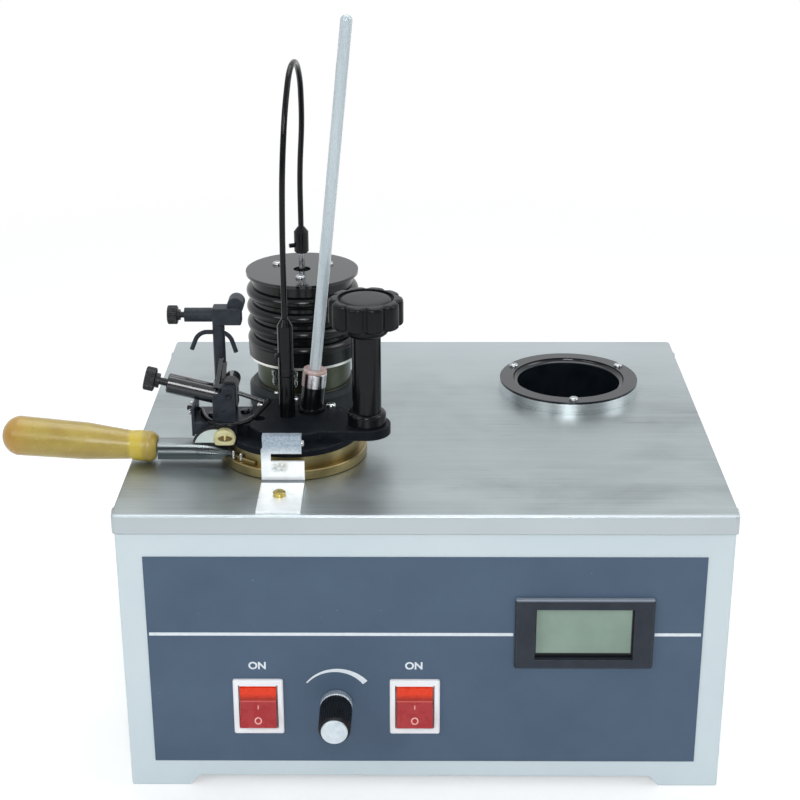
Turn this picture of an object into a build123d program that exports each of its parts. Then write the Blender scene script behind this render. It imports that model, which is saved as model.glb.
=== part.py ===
from build123d import *
import os
from math import atan2, cos, degrees, hypot, pi, radians, sin, tan

# A closed-cup flash point tester for the bench. X runs to the right along the front panel, Y runs
# away from the user, Z is up, and the origin is the centre of the case's footprint on the bench.
# All sizes are in millimetres.

# ---------------------------------------------------------------- case and lid
lid_width = 350.0
lid_depth = 284.0
lid_top = 177.5
lid_sheet = 1.2
lid_lip = 11.3
lid_corner = 3.0
case_sheet = 1.2
sheet_slip = 0.1
case_flange = 14.0
skirt_height = 6.5
foot_width = 34.7
foot_slope = 6.0
base_sheet = 1.2
base_slip = 0.4
lid_edge_round = 1.3
well_hole_slip = 1.0

# ---------------------------------------------------------------- screws that the case uses
screw_head_radius = 3.0
screw_head_height = 1.9
screw_head_round = 1.5
screw_shank_radius = 1.4
screw_shank_length = 6.0
screw_slip = 0.2
screw_run_out = 2.0
blind_rest = 1.0
ring_screws = 3
lid_screw_y = 126.0
lid_screw_drop = 5.5
base_screw_inset = 8.0

# ---------------------------------------------------------------- front panel
overlay_width = 317.5
overlay_bottom = 17.0
overlay_height = 134.6
overlay_thickness = 0.5

meter_inset = 67.85
meter_z = 103.7
meter_width = 79.2
meter_height = 44.6
meter_proud = 3.2
meter_corner = 1.5
meter_chamfer = 1.0
window_width = 56.2
window_height = 32.5
window_margin = 1.3
window_thickness = 2.0
meter_body_width = 75.0
meter_body_height = 39.0
meter_body_depth = 22.0
meter_wall = 1.5
cutout_slip = 0.3

switch_z = 54.9
stir_switch_x = -96.4
power_switch_x = -5.6
switch_width = 29.0
switch_height = 36.0
switch_proud = 2.2
switch_body_depth = 20.0
switch_wall = 2.0
switch_corner = 1.2
switch_chamfer = 0.7
terminal_length = 8.0
terminal_pitch = 11.0
terminal_width = 4.8
terminal_thickness = 0.8
rocker_width = 21.0
rocker_gap = 0.3
rocker_top = 12.4
rocker_fold = 3.8
rocker_bottom = 11.2
rocker_pivot_depth = 4.0
rocker_proud = 0.4
rocker_cavity_depth = 8.0
rocker_side_angle = 78.0
rocker_back = 2.6
rocker_back_half = 4.0
rocker_tilt = 18.0
rocker_pin_radius = 1.2
rocker_pin_length = 1.1
pin_slip = 0.06

knob_x = -51.1
knob_z = 56.5
knob_radius = 9.2
knob_length = 30.4
knob_skirt_radius = 9.7
knob_skirt_thickness = 1.6
knob_cap_radius = 7.6
knob_cap_thickness = 1.2
knob_flutes = 36
flute_radius = 0.55
flute_offset = 0.2
knob_gap = 0.5
knob_shaft_depth = 18.2
knob_pocket_room = 1.5
nut_pocket_slip = 0.5
pot_shaft_radius = 3.0
bushing_radius = 3.5
bushing_proud = 5.0
pot_radius = 8.5
pot_depth = 10.0
pot_floor = 1.5
nut_size = 10.0
nut_thickness = 2.4

# ---------------------------------------------------------------- back and inside of the case
inlet_x = 105.0
inlet_z = 55.0
inlet_flange_width = 31.0
inlet_flange_height = 24.0
inlet_flange_thickness = 3.0
inlet_body_width = 27.0
inlet_body_height = 20.0
inlet_body_depth = 22.0
inlet_recess_width = 24.0
inlet_recess_height = 16.5
inlet_recess_depth = 18.0
inlet_pin_length = 11.0
inlet_corner = 3.0
inlet_pin_pitch = 7.0
inlet_pin_shift = 2.0
inlet_pin_width = 2.0
inlet_pin_height = 4.0
board_x = 40.0
board_y = 20.0
board_width = 130.0
board_depth = 90.0
board_thickness = 1.6
standoff_height = 10.0
standoff_radius = 3.0
standoff_inset = 6.0
transformer_dx = -35.0
transformer_width = 42.0
transformer_depth = 36.0
transformer_height = 32.0
sink_dx = 10.0
sink_dy = 24.0
sink_width = 36.0
sink_thickness = 5.0
sink_height = 22.0
capacitor_dx = 28.0
capacitor_dy = -18.0
capacitor_pitch = 18.0
capacitor_radius = 7.0
capacitor_height = 20.0

# ---------------------------------------------------------------- cooling well
well_x = 95.5
well_y = 51.5
well_radius = 45.0
well_ring_height = 6.4
well_sheet = 1.5
well_bore = 33.5
well_lip = 2.7
well_depth = 67.0
well_bottom_radius = 14.0
well_screw_circle = 40.2
well_screw_turn = 30.0

# ---------------------------------------------------------------- stove
stove_x = -78.5
stove_y = -51.5
stove_ring_radius = 44.0
stove_ring_height = 6.0
stove_spigot_radius = 36.0
stove_spigot_depth = 4.0
stove_chamfer = 0.6
chamber_bore = 31.5
chamber_radius = 38.0
chamber_floor = 125.0
chamber_floor_thickness = 7.0
heater_thickness = 3.0
heater_bottom = 126.0
heater_height = 38.0
jacket_radius = 56.0
jacket_sheet = 1.0
jacket_bottom = 110.0
jacket_flange = 4.0
lining_slip = 0.3

# ---------------------------------------------------------------- stirrer motor
motor_x = -77.0
motor_y = 34.0
motor_base_radius = 35.4
motor_base_height = 14.3
motor_base_chamfer = 2.4
motor_neck_radius = 29.9
motor_neck_wall = 2.0
motor_neck_height = 18.2
motor_rim_radius = 35.5
motor_rim_thickness = 1.5
cover_band_height = 9.7
cover_band_inset = 0.3
cover_valley_radius = 32.0
cover_rib_radius = 35.5
cover_rib_half = 4.1
cover_rib_pitch = 10.5
cover_ribs = 4
cover_first_rib = 9.7
cover_height = 51.9
cover_wall = 1.4
cover_roof = 4.0
cover_mouth = 10.0
motor_disc_radius = 35.5
motor_disc_thickness = 2.0
motor_disc_hole = 5.5
motor_disc_screw_circle = 19.0
motor_disc_screw_turn = 150.0
disc_screw_rest = 1.5
motor_can_gap = 0.6
motor_boss_radius = 7.0
motor_boss_height = 3.5
motor_shaft_radius = 2.0
motor_shaft_above = 20.0
motor_bearing_height = 6.0
wire_hole_radius = 6.0
motor_screw_circle = 20.0
motor_screw_turn = 90.0
shaft_slip = 0.05
small_chamfer = 0.4

# ---------------------------------------------------------------- test cup and its handle
cup_radius = 27.5
cup_bore = 25.4
cup_depth = 56.0
cup_floor = 2.5
cup_flange_radius = 39.5
cup_flange_height = 7.0
cup_foot_chamfer = 1.5
handle_y = -67.0
handle_width = 12.0
handle_sheet = 1.6
handle_end_x = -157.8
handle_end_bottom = 180.4
handle_end_top = 191.4
handle_crest_x = -124.0
handle_crest_z = 189.4
handle_root_x = -105.0
handle_heel_x = -121.5
handle_bend_x = -124.5
handle_bend_z = 180.2
handle_round = 1.0
channel_root_x = -118.0
channel_heel_x = -122.0
channel_bottom = 179.0
handle_web_height = 9.0
strip_lift = 0.4
strip_height = 4.2
strip_width = 6.6
strip_start = 192.0
strip_end = 240.0
stud_radius = 1.4
stud_height = 6.0
stud_circle = 42.8
stud_angles = [218.5, 230.0]
tang_radius = 3.0
tang_length = 70.0
tang_end_gap = 0.3
grip_left_x = -249.8
grip_left_z = 194.9
grip_right_x = -158.6
grip_right_z = 186.8
grip_end_radius = 11.7
grip_neck_radius = 8.5
grip_collar_radius = 9.1
grip_nose = (2.6, 7.6)
grip_shoulder = 9.5
grip_waist = 50.0
grip_waist_drop = 0.7
grip_neck = 76.5
grip_neck_rise = 0.6
grip_hollow = 81.0
grip_collar = 84.5
grip_collar_middle = 88.5
grip_collar_drop = 0.2
grip_end_drop = 2.4

# ---------------------------------------------------------------- cover
rim_radius = 40.0
rim_height = 4.0
spigot_depth = 3.0
spigot_gap = 0.3
rim_chamfer = 0.5
stirrer_hole_slip = 0.6
thermo_hole_depth = 20.0
plate_height = 6.0
plate_radius = 30.0
pocket_depth = 3.2
left_arm_end = -134.0
left_arm_front = -65.0
left_arm_back = -45.0
right_arm_front = -76.2
right_arm_back = -44.0
column_x = -34.0
column_y = -62.4
column_radius = 8.6
column_foot_radius = 11.4
column_foot_height = 8.0
column_foot_round = 2.2
column_height = 55.2
column_end_radius = 14.0
spindle_radius = 3.0
spring_chamber_radius = 6.2
spring_bottom = 12.0
spring_height = 36.0
spring_outer_gap = 0.4
spring_inner_gap = 0.6
spring_play = 1.0
port_x = -98.5
port_y = -56.0
port_radius = 2.6
port_flare = 1.2
shutter_thickness = 1.2
shutter_gap = 0.3
shutter_room = 1.0
blade_margin = 16.0
arm_end_gap = 3.0
slot_run_out = 1.5
spindle_hole_slip = 0.4
shutter_hub_radius = 8.0
shutter_radius = 21.5
shutter_turn = 21.4
shutter_arm_width = 5.6
arm_swing_margin = 8.3
arm_room = 0.6
crank_radius = 14.0
crank_thickness = 1.0
crank_start = 137.2
crank_pin_radius = 1.2
slot_clearance = 0.5
crank_end_radius = 1.7
crank_root_radius = 4.4
crank_pocket_radius = 8.5
crank_sweep = 60.0
crank_swing_margin = 14.0

cover_screw_places = [(-56.6, -36.5), (-98.5, -36.5), (-80.0, -26.5)]
bracket_screw_places = [(-126.0, -55.5), (-107.2, -50.0)]

# ---------------------------------------------------------------- operating knob
hub_radius = 14.0
hub_height = 6.4
hub_gap = 0.3
lobe_knob_radius = 21.8
lobe_knob_height = 16.0
lobe_count = 8
scallop_radius = 6.3
scallop_circle = 26.2
scallop_round = 1.8
lobe_top_chamfer = 1.4
lobe_bottom_chamfer = 1.2
lobe_groove_outer = 14.4
lobe_groove_inner = 13.1
lobe_groove_depth = 0.8
spindle_end_gap = 0.2

# ---------------------------------------------------------------- stirrer and drive
stirrer_x = -82.0
stirrer_y = -51.5
stirrer_radius = 2.5
bush_radius = 4.7
bush_height = 26.0
bush_spigot_radius = 4.5
collar_radius = 4.7
collar_height = 3.9
coupling_radius = 4.6
coupling_height = 26.9
coupling_cone = 4.3
coupling_tip = 2.2
coupling_bore_depth = 19.0
end_play = 0.3
paddle_bottom = 138.0
paddle_height = 8.0
paddle_radius = 16.0
paddle_thickness = 1.2
paddle_hub_radius = 4.5
upper_paddle_bottom = 161.0
upper_paddle_height = 6.0
upper_paddle_radius = 8.5
paddle_pitch = 35.0
paddle_trim = 0.6
set_screw_radius = 1.4
set_screw_length = 3.2
set_screw_chamfer = 0.3
set_screw_start = 1.0
collar_screw_turn = -35.0
coupling_screw_height = 8.5
coupling_screw_turn = 190.0
motor_screw_height = 5.0
motor_coupling_screw_turn = 200.0
motor_set_screw_reach = 8.0
cable_radius = 1.75
bend_share = 0.45
motor_coupling_bottom = 276.4
motor_coupling_height = 13.6
motor_coupling_cone = 3.1
motor_coupling_bore = 11.0
motor_coupling_chamfer = 1.0

# The flexible shaft's route over the top, from the stirrer's coupling to the motor's: hand-placed
# points between the two vertical ends.
cable_points = [
    (-82.0, -51.5, 310.0),
    (-81.2, -49.5, 349.0),
    (-79.3, -42.5, 382.0),
    (-77.2, -26.0, 403.5),
    (-75.0, -4.0, 404.5),
    (-73.8, 13.0, 390.0),
    (-74.2, 26.0, 362.0),
    (-77.0, 34.0, 328.0),
]

# ---------------------------------------------------------------- thermometer
thermo_foot_x = -68.1
thermo_y = -42.9
thermo_tilt = 6.0
thermo_hole_slip = 0.7
thermo_radius = 3.5
thermo_slip = 0.1
socket_radius = 6.9
socket_length = 16.3
socket_foot_radius = 8.4
socket_foot_height = 2.4
socket_root = 3.0
ferrule_radius = 7.3
ferrule_length = 9.0
ferrule_chamfer = 0.8
thermo_top = 237.0
thermo_bottom = -52.0
thermo_round = 3.1
bulb_radius = 2.6
bulb_length = 14.0
bulb_round = 2.1

# ---------------------------------------------------------------- burner
bracket_left = -137.5
bracket_right = -104.0
bracket_front = -66.8
bracket_back = -41.0
bracket_sheet = 1.5
tube_hole_shift = -1.1
tube_hole_slip = 1.0
bracket_wall_top = 210.7
bracket_wall_bottom = 193.6
bracket_skirt_bottom = 194.8
bracket_skirt_right = -111.0
cheek_left = -119.0
cheek_right = -111.7
cheek_top = 224.1
cheek_back_top = 220.5
cheek_thickness = 3.0
burner_y = -57.0
burner_gap = 9.4
burner_side_gap = 0.3
pivot_x = -115.9
pivot_z = 216.2
pivot_radius = 1.5
burner_slope = 13.8
barrel_radius = 6.0
barrel_drop = 1.3
barrel_start = 8.5
barrel_neck_radius = 4.0
barrel_end = 37.2
barrel_bore_depth = 16.0
barrel_chamfer = 0.5
block_left = -121.4
block_right = -110.4
block_bottom = 210.2
block_top = 222.2
cap_left = -124.6
cap_height = 2.2
fitting_radius = 4.5
fitting_dx = 2.5
fitting_dz = 9.2
nozzle_radius = 1.35
nozzle_bore = 0.8
nozzle_length = 16.2
nozzle_slope = 20.2
nozzle_start_dx = 5.5
nozzle_start_dz = 1.0
nozzle_root = 3.0
nozzle_bore_depth = 8.0
lever_width = 2.4
lever_thickness = 2.0
front_lever_foot_x = -122.6
front_lever_tip = (-118.9, 240.6)
back_lever_foot_x = -119.4
back_lever_tip = (-117.4, 236.0)
back_lever_shift = 0.6
thumb_head_radius = 7.1
thumb_head_thickness = 6.5
thumb_head_chamfer = 0.8
thumb_spindle_radius = 2.2
thumb_spindle_length = 20.5
thumb_gap = 7.0
gas_tube_radius = 1.5

# The pilot tube's route along the front of the burner to just in front of the nozzle's tip.
gas_tube_points = [
    (-142.0, -48.0, 204.2),
    (-133.5, -50.0, 204.1),
    (-130.5, -62.0, 204.0),
    (-124.0, -73.0, 204.0),
    (-112.5, -76.0, 204.0),
    (-104.0, -68.5, 204.0),
    (-99.6, -62.5, 205.2),
    (-91.2, -62.0, 214.7),
]

# ---------------------------------------------------------------- pilot valve
post_x = -121.6
post_y = -46.0
post_radius = 3.6
post_top = 257.2
pilot_block_left = -124.6
pilot_block_right = -107.8
pilot_block_height = 10.4
pilot_block_depth = 9.6
pilot_block_chamfer = 0.5
pilot_barrel_radius = 4.2
pilot_barrel_length = 16.6
pilot_bore_depth = 10.0
pilot_head_radius = 5.6
pilot_head_thickness = 6.0
pilot_head_chamfer = 0.7
pilot_spindle_radius = 1.8
pilot_spindle_length = 14.0
pilot_gap = 4.0
pilot_fitting_radius = 4.9
pilot_fitting_dx = 3.2
pilot_fitting_dz = 1.0
pilot_fitting_inset = 2.0
weld_depth = 1.0
cross_tube_radius = 1.35
cross_tube_z = 251.6
cross_left = (-138.0, 240.8)
cross_right = (-111.8, 239.0)
cross_half = 12.0

# ---------------------------------------------------------------- flame gauge disc
gauge_x = -123.8
gauge_z = 188.0
gauge_radius = 13.0
gauge_front = -72.8
gauge_thickness = 1.6
gauge_flat_z = 191.9
gauge_notch_x = -110.0
gauge_notch_y = -69.9
gauge_rim = 0.6
gauge_backing_thickness = 1.0
gauge_stem_radius = 2.6
gauge_stem_rise = 3.0
boss_x = -117.5
boss_z = 195.0
boss_radius = 6.5
boss_thickness = 3.6
gauge_screw_radius = 2.6
gauge_screw_height = 1.4
gauge_screw_rise = 0.6
gauge_slot = 0.8

# ---------------------------------------------------------------- latch bracket
latch_left = -94.3
latch_right = -69.3
latch_front = -97.2
latch_sheet = 1.4
latch_top = 206.4
latch_neck_left = -93.4
latch_neck_right = -70.9
latch_slot_bottom = 190.7
latch_slot_top = 195.4
latch_slot_left = -88.7
latch_foot_inset = 3.0
latch_hood_depth = 3.6
latch_screw_x = -82.5
latch_screw_radius = 3.6
latch_screw_height = 2.8
latch_screw_chamfer = 0.6
latch_screw_slot = 0.9
latch_screw_run_out = 3.0
latch_pin_radius = 2.0
latch_pin_z = 200.9
latch_pin_head = 1.6
latch_pin_round = 1.2
latch_pin_shank = 1.0
latch_left_shoulder = 2.6
latch_neck_shoulder = 3.4
latch_ear_rise = 1.6

# ---------------------------------------------------------------- values that follow
lid_under = lid_top - lid_sheet
meter_x = overlay_width / 2 - meter_inset
latch_foot_front = latch_foot_inset - lid_depth / 2
latch_screw_y = (latch_foot_front + latch_front) / 2
case_width = lid_width - 2 * (lid_sheet + sheet_slip)
case_depth = lid_depth - 2 * (lid_sheet + sheet_slip)
front_offset = case_depth / 2
face_offset = front_offset + overlay_thickness
front_wall = Plane.XZ.offset(front_offset)
front_face = Plane.XZ.offset(face_offset)
rear_wall = Plane.XZ.offset(-front_offset)
base_bottom = skirt_height + base_slip
base_top = base_bottom + base_sheet
screw_hole_radius = screw_shank_radius + screw_slip
base_screw_x = case_width / 2 - case_sheet - base_screw_inset
base_screw_y = case_depth / 2 - case_sheet - base_screw_inset
well_ring_top = lid_top + well_ring_height
well_top = well_ring_top + well_sheet
stove_top = lid_top + stove_ring_height
cup_top = stove_top + cup_flange_height
rim_top = cup_top + rim_height
plate_top = rim_top + plate_height
chamber_top = lid_under - stove_spigot_depth
motor_base_top = lid_top + motor_base_height
motor_rim_bottom = motor_base_top + motor_neck_height
motor_rim_top = motor_rim_bottom + motor_rim_thickness
cover_top = motor_rim_top + cover_height
motor_disc_top = cover_top + motor_disc_thickness

os.makedirs("parts", exist_ok=True)


def dome_screw(seat, shank_length=screw_shank_length):
    """A dome-headed screw whose head stands on the seat plane and whose shank runs down from it."""
    with BuildPart(seat) as screw:
        with BuildSketch(seat):
            Circle(screw_head_radius)
        extrude(amount=screw_head_height)
        fillet(screw.faces().sort_by(Axis(seat.origin, seat.z_dir))[-1].edges(), screw_head_round)
        with BuildSketch(seat):
            Circle(screw_shank_radius)
        extrude(amount=-shank_length)
    return screw.part


# ================================================================ case
with BuildPart() as case_shell:
    with BuildSketch(Plane.XY):
        RectangleRounded(case_width, case_depth, lid_corner - lid_sheet)
    extrude(amount=lid_under)
    with BuildSketch(Plane.XY.offset(case_sheet)):
        Rectangle(case_width - 2 * case_sheet, case_depth - 2 * case_sheet)
    extrude(amount=lid_under - 2 * case_sheet, mode=Mode.SUBTRACT)
    with BuildSketch(Plane.XY.offset(lid_under - case_sheet)):
        Rectangle(case_width - 2 * case_flange, case_depth - 2 * case_flange)
    extrude(amount=case_sheet, mode=Mode.SUBTRACT)
    with BuildSketch(Plane.XY.offset(base_top)):
        Rectangle(case_width - case_sheet, case_depth - case_sheet)
        Rectangle(case_width - 2 * case_flange, case_depth - 2 * case_flange, mode=Mode.SUBTRACT)
    extrude(amount=case_sheet)
    for half, cut_plane in ((case_width / 2, Plane.XZ), (case_depth / 2, Plane.YZ)):
        inner = half - foot_width
        with BuildSketch(cut_plane):
            with BuildLine():
                Polyline(
                    (-inner, 0),
                    (-inner + foot_slope, skirt_height),
                    (inner - foot_slope, skirt_height),
                    (inner, 0),
                    close=True,
                )
            make_face()
        extrude(amount=case_width, both=True, mode=Mode.SUBTRACT)
    # cut-outs in the front wall
    with BuildSketch(front_wall):
        with Locations((meter_x, meter_z)):
            Rectangle(meter_body_width + 2 * cutout_slip, meter_body_height + 2 * cutout_slip)
        with Locations((stir_switch_x, switch_z), (power_switch_x, switch_z)):
            Rectangle(
                rocker_width + 2 * (rocker_gap + switch_wall + cutout_slip),
                switch_height - 2 * switch_wall + 2 * cutout_slip,
            )
        with Locations((knob_x, knob_z)):
            Circle(bushing_radius + cutout_slip)
    extrude(amount=-case_sheet, mode=Mode.SUBTRACT)
    # the mains inlet's cut-out in the back wall
    with BuildSketch(rear_wall):
        with Locations((inlet_x, inlet_z)):
            Rectangle(inlet_body_width + 2 * cutout_slip, inlet_body_height + 2 * cutout_slip)
    extrude(amount=case_sheet, mode=Mode.SUBTRACT)
    # holes for the lid's side screws and for the base plate's screws
    with BuildSketch(Plane.YZ):
        with Locations((-lid_screw_y, lid_top - lid_screw_drop), (lid_screw_y, lid_top - lid_screw_drop)):
            Circle(screw_hole_radius)
    extrude(amount=case_width, both=True, mode=Mode.SUBTRACT)
    with BuildSketch(Plane.XY.offset(base_top)):
        with GridLocations(2 * base_screw_x, 2 * base_screw_y, 2, 2):
            Circle(screw_hole_radius)
    extrude(amount=case_sheet, mode=Mode.SUBTRACT)
case_shell.part.label = "case_shell"
export_step(case_shell.part, "parts/case_shell.step")

with BuildPart() as base_plate:
    with BuildSketch(Plane.XY.offset(base_bottom)):
        Rectangle(
            case_width - 2 * case_sheet - 2 * base_slip,
            case_depth - 2 * case_sheet - 2 * base_slip,
        )
        with GridLocations(2 * base_screw_x, 2 * base_screw_y, 2, 2):
            Circle(screw_hole_radius, mode=Mode.SUBTRACT)
    extrude(amount=base_sheet)
base_plate.part.label = "base_plate"
export_step(base_plate.part, "parts/base_plate.step")

with BuildPart() as top_plate:
    with BuildSketch(Plane.XY.offset(lid_top - lid_lip)):
        RectangleRounded(lid_width, lid_depth, lid_corner)
    extrude(amount=lid_lip)
    fillet(top_plate.faces().sort_by(Axis.Z)[-1].edges(), lid_edge_round)
    with BuildSketch(Plane.XY.offset(lid_top - lid_lip)):
        RectangleRounded(
            lid_width - 2 * lid_sheet,
            lid_depth - 2 * lid_sheet,
            lid_corner - lid_sheet,
        )
    extrude(amount=lid_lip - lid_sheet, mode=Mode.SUBTRACT)
    with BuildSketch(Plane.XY.offset(lid_under)):
        with Locations((stove_x, stove_y)):
            Circle(stove_spigot_radius + screw_slip)
        with Locations((well_x, well_y)):
            Circle(well_bore + well_sheet + well_hole_slip)
        with Locations((motor_x, motor_y)):
            Circle(wire_hole_radius)
            with PolarLocations(motor_screw_circle, ring_screws, start_angle=motor_screw_turn):
                Circle(screw_hole_radius)
        with Locations((latch_screw_x, latch_screw_y)):
            Circle(screw_hole_radius)
        with Locations((well_x, well_y)):
            with PolarLocations(well_screw_circle, ring_screws, start_angle=well_screw_turn):
                Circle(screw_hole_radius)
    extrude(amount=lid_sheet, mode=Mode.SUBTRACT)
    with BuildSketch(Plane.YZ):
        with Locations((-lid_screw_y, lid_top - lid_screw_drop), (lid_screw_y, lid_top - lid_screw_drop)):
            Circle(screw_hole_radius)
    extrude(amount=lid_width, both=True, mode=Mode.SUBTRACT)
top_plate.part.label = "top_plate"
export_step(top_plate.part, "parts/top_plate.step")

# One kind of dome-headed screw holds the lid, the base plate, the motor's base and the well.
case_screws = []
for side in (-1, 1):
    for screw_y in (-lid_screw_y, lid_screw_y):
        seat = Plane(
            origin=(side * lid_width / 2, screw_y, lid_top - lid_screw_drop),
            z_dir=(side, 0, 0),
        )
        case_screws.append(dome_screw(seat))
    for screw_y in (-base_screw_y, base_screw_y):
        seat = Plane(origin=(side * base_screw_x, screw_y, base_bottom), z_dir=(0, 0, -1))
        case_screws.append(dome_screw(seat, base_sheet + case_sheet + screw_run_out))
for turn in range(ring_screws):
    around = radians(motor_screw_turn + 360 / ring_screws * turn)
    seat = Plane(
        origin=(
            motor_x + motor_screw_circle * cos(around),
            motor_y + motor_screw_circle * sin(around),
            lid_under,
        ),
        z_dir=(0, 0, -1),
    )
    case_screws.append(dome_screw(seat))
    around = radians(well_screw_turn + 360 / ring_screws * turn)
    seat = Plane(
        origin=(
            well_x + well_screw_circle * cos(around),
            well_y + well_screw_circle * sin(around),
            well_top,
        ),
        z_dir=(0, 0, 1),
    )
    case_screws.append(dome_screw(seat, well_top - lid_under + screw_run_out))
case_screws = Compound(label="case_screws", children=case_screws)
export_step(case_screws, "parts/case_screws.step")

# ================================================================ front panel
with BuildPart() as panel_overlay:
    with BuildSketch(front_wall):
        with Locations((0, overlay_bottom + overlay_height / 2)):
            Rectangle(overlay_width, overlay_height)
        with Locations((meter_x, meter_z)):
            Rectangle(
                meter_body_width + 2 * cutout_slip,
                meter_body_height + 2 * cutout_slip,
                mode=Mode.SUBTRACT,
            )
        with Locations((stir_switch_x, switch_z), (power_switch_x, switch_z)):
            Rectangle(
                rocker_width + 2 * (rocker_gap + switch_wall + cutout_slip),
                switch_height - 2 * switch_wall + 2 * cutout_slip,
                mode=Mode.SUBTRACT,
            )
        with Locations((knob_x, knob_z)):
            Circle(bushing_radius + cutout_slip, mode=Mode.SUBTRACT)
    extrude(amount=overlay_thickness)
panel_overlay.part.label = "panel_overlay"
export_step(panel_overlay.part, "parts/panel_overlay.step")

with BuildPart() as meter_bezel:
    with BuildSketch(front_face):
        with Locations((meter_x, meter_z)):
            RectangleRounded(meter_width, meter_height, meter_corner)
    extrude(amount=meter_proud)
    chamfer(meter_bezel.faces().sort_by(Axis.Y)[0].edges(), meter_chamfer)
    with BuildSketch(front_face):
        with Locations((meter_x, meter_z)):
            Rectangle(meter_body_width, meter_body_height)
    extrude(amount=-meter_body_depth)
    with BuildSketch(front_face):
        with Locations((meter_x, meter_z)):
            Rectangle(meter_body_width - 2 * meter_wall, meter_body_height - 2 * meter_wall)
    extrude(amount=-(meter_body_depth - meter_wall), mode=Mode.SUBTRACT)
    with BuildSketch(front_face):
        with Locations((meter_x, meter_z)):
            Rectangle(window_width, window_height)
    extrude(amount=meter_proud, mode=Mode.SUBTRACT)
meter_bezel.part.label = "meter_bezel"
export_step(meter_bezel.part, "parts/meter_bezel.step")

with BuildPart() as meter_window:
    with BuildSketch(front_face):
        with Locations((meter_x, meter_z)):
            Rectangle(window_width + 2 * window_margin, window_height + 2 * window_margin)
    extrude(amount=-window_thickness)
meter_window.part.label = "meter_window"
export_step(meter_window.part, "parts/meter_window.step")

# The rocker's own profile, about its pivot: out is towards the user, up is +Z.
pivot_to_face = rocker_pivot_depth + rocker_proud
rocker_lip_out = pivot_to_face + (rocker_fold + rocker_bottom) * tan(radians(rocker_tilt))
top_sweep = hypot(pivot_to_face, rocker_top)
bottom_sweep = hypot(rocker_lip_out, rocker_bottom)
rocker_z = switch_z + (bottom_sweep - top_sweep) / 2
rocker_pivot_y = -(face_offset + switch_proud) + rocker_pivot_depth
opening_top = top_sweep + rocker_gap
opening_bottom = bottom_sweep + rocker_gap
cavity_width = rocker_width + 2 * rocker_gap
top_angle = degrees(atan2(rocker_top, pivot_to_face))
bottom_angle = -degrees(atan2(rocker_bottom, rocker_lip_out))


def out_up(out, up):
    """A point of the rocker's profile on the YZ plane."""
    return (rocker_pivot_y - out, rocker_z + up)


def on_sweep(sweep, angle):
    """A point at an angle above the outward direction, on a circle about the pivot."""
    return out_up(sweep * cos(radians(angle)), sweep * sin(radians(angle)))


for switch_name, switch_x in (("stir", stir_switch_x), ("power", power_switch_x)):
    with BuildPart() as switch_frame:
        with BuildSketch(front_face):
            with Locations((switch_x, switch_z)):
                RectangleRounded(switch_width, switch_height, switch_corner)
        extrude(amount=switch_proud)
        chamfer(switch_frame.faces().sort_by(Axis.Y)[0].edges(), switch_chamfer)
        with BuildSketch(front_face):
            with Locations((switch_x, switch_z)):
                Rectangle(cavity_width + 2 * switch_wall, switch_height - 2 * switch_wall)
        extrude(amount=-switch_body_depth)
        with BuildSketch(front_face.offset(switch_proud)):
            with Locations((switch_x, rocker_z + (opening_top - opening_bottom) / 2)):
                Rectangle(cavity_width, opening_top + opening_bottom)
        extrude(amount=-(rocker_pivot_depth + rocker_cavity_depth), mode=Mode.SUBTRACT)
        with BuildSketch(Plane.YZ.offset(switch_x)):
            with Locations((rocker_pivot_y, rocker_z)):
                Circle(rocker_pin_radius + pin_slip)
        extrude(
            amount=rocker_width / 2 + rocker_pin_length + pin_slip,
            both=True,
            mode=Mode.SUBTRACT,
        )
        with BuildSketch(front_face.offset(-switch_body_depth)):
            with Locations((switch_x, switch_z)):
                with GridLocations(0, terminal_pitch, 1, 3):
                    Rectangle(terminal_width, terminal_thickness)
        extrude(amount=-terminal_length)
    switch_frame.part.label = switch_name + "_switch_frame"
    export_step(switch_frame.part, "parts/" + switch_name + "_switch_frame.step")

    with BuildPart() as rocker:
        with BuildSketch(Plane.YZ.offset(switch_x)):
            with BuildLine():
                Polyline(
                    out_up(pivot_to_face, rocker_top),
                    out_up(pivot_to_face, rocker_fold),
                    out_up(rocker_lip_out, -rocker_bottom),
                )
                ThreePointArc(
                    on_sweep(bottom_sweep, bottom_angle),
                    on_sweep(bottom_sweep, (bottom_angle - rocker_side_angle) / 2),
                    on_sweep(bottom_sweep, -rocker_side_angle),
                )
                Polyline(
                    on_sweep(bottom_sweep, -rocker_side_angle),
                    out_up(-rocker_back, -rocker_back_half),
                    out_up(-rocker_back, rocker_back_half),
                    on_sweep(top_sweep, rocker_side_angle),
                )
                ThreePointArc(
                    on_sweep(top_sweep, rocker_side_angle),
                    on_sweep(top_sweep, (rocker_side_angle + top_angle) / 2),
                    on_sweep(top_sweep, top_angle),
                )
            make_face()
        extrude(amount=rocker_width / 2, both=True)
        with BuildSketch(Plane.YZ.offset(switch_x)):
            with Locations((rocker_pivot_y, rocker_z)):
                Circle(rocker_pin_radius)
        extrude(amount=rocker_width / 2 + rocker_pin_length - rocker_gap, both=True)
    rocker.part.label = switch_name + "_rocker"
    export_step(rocker.part, "parts/" + switch_name + "_rocker.step")

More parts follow.
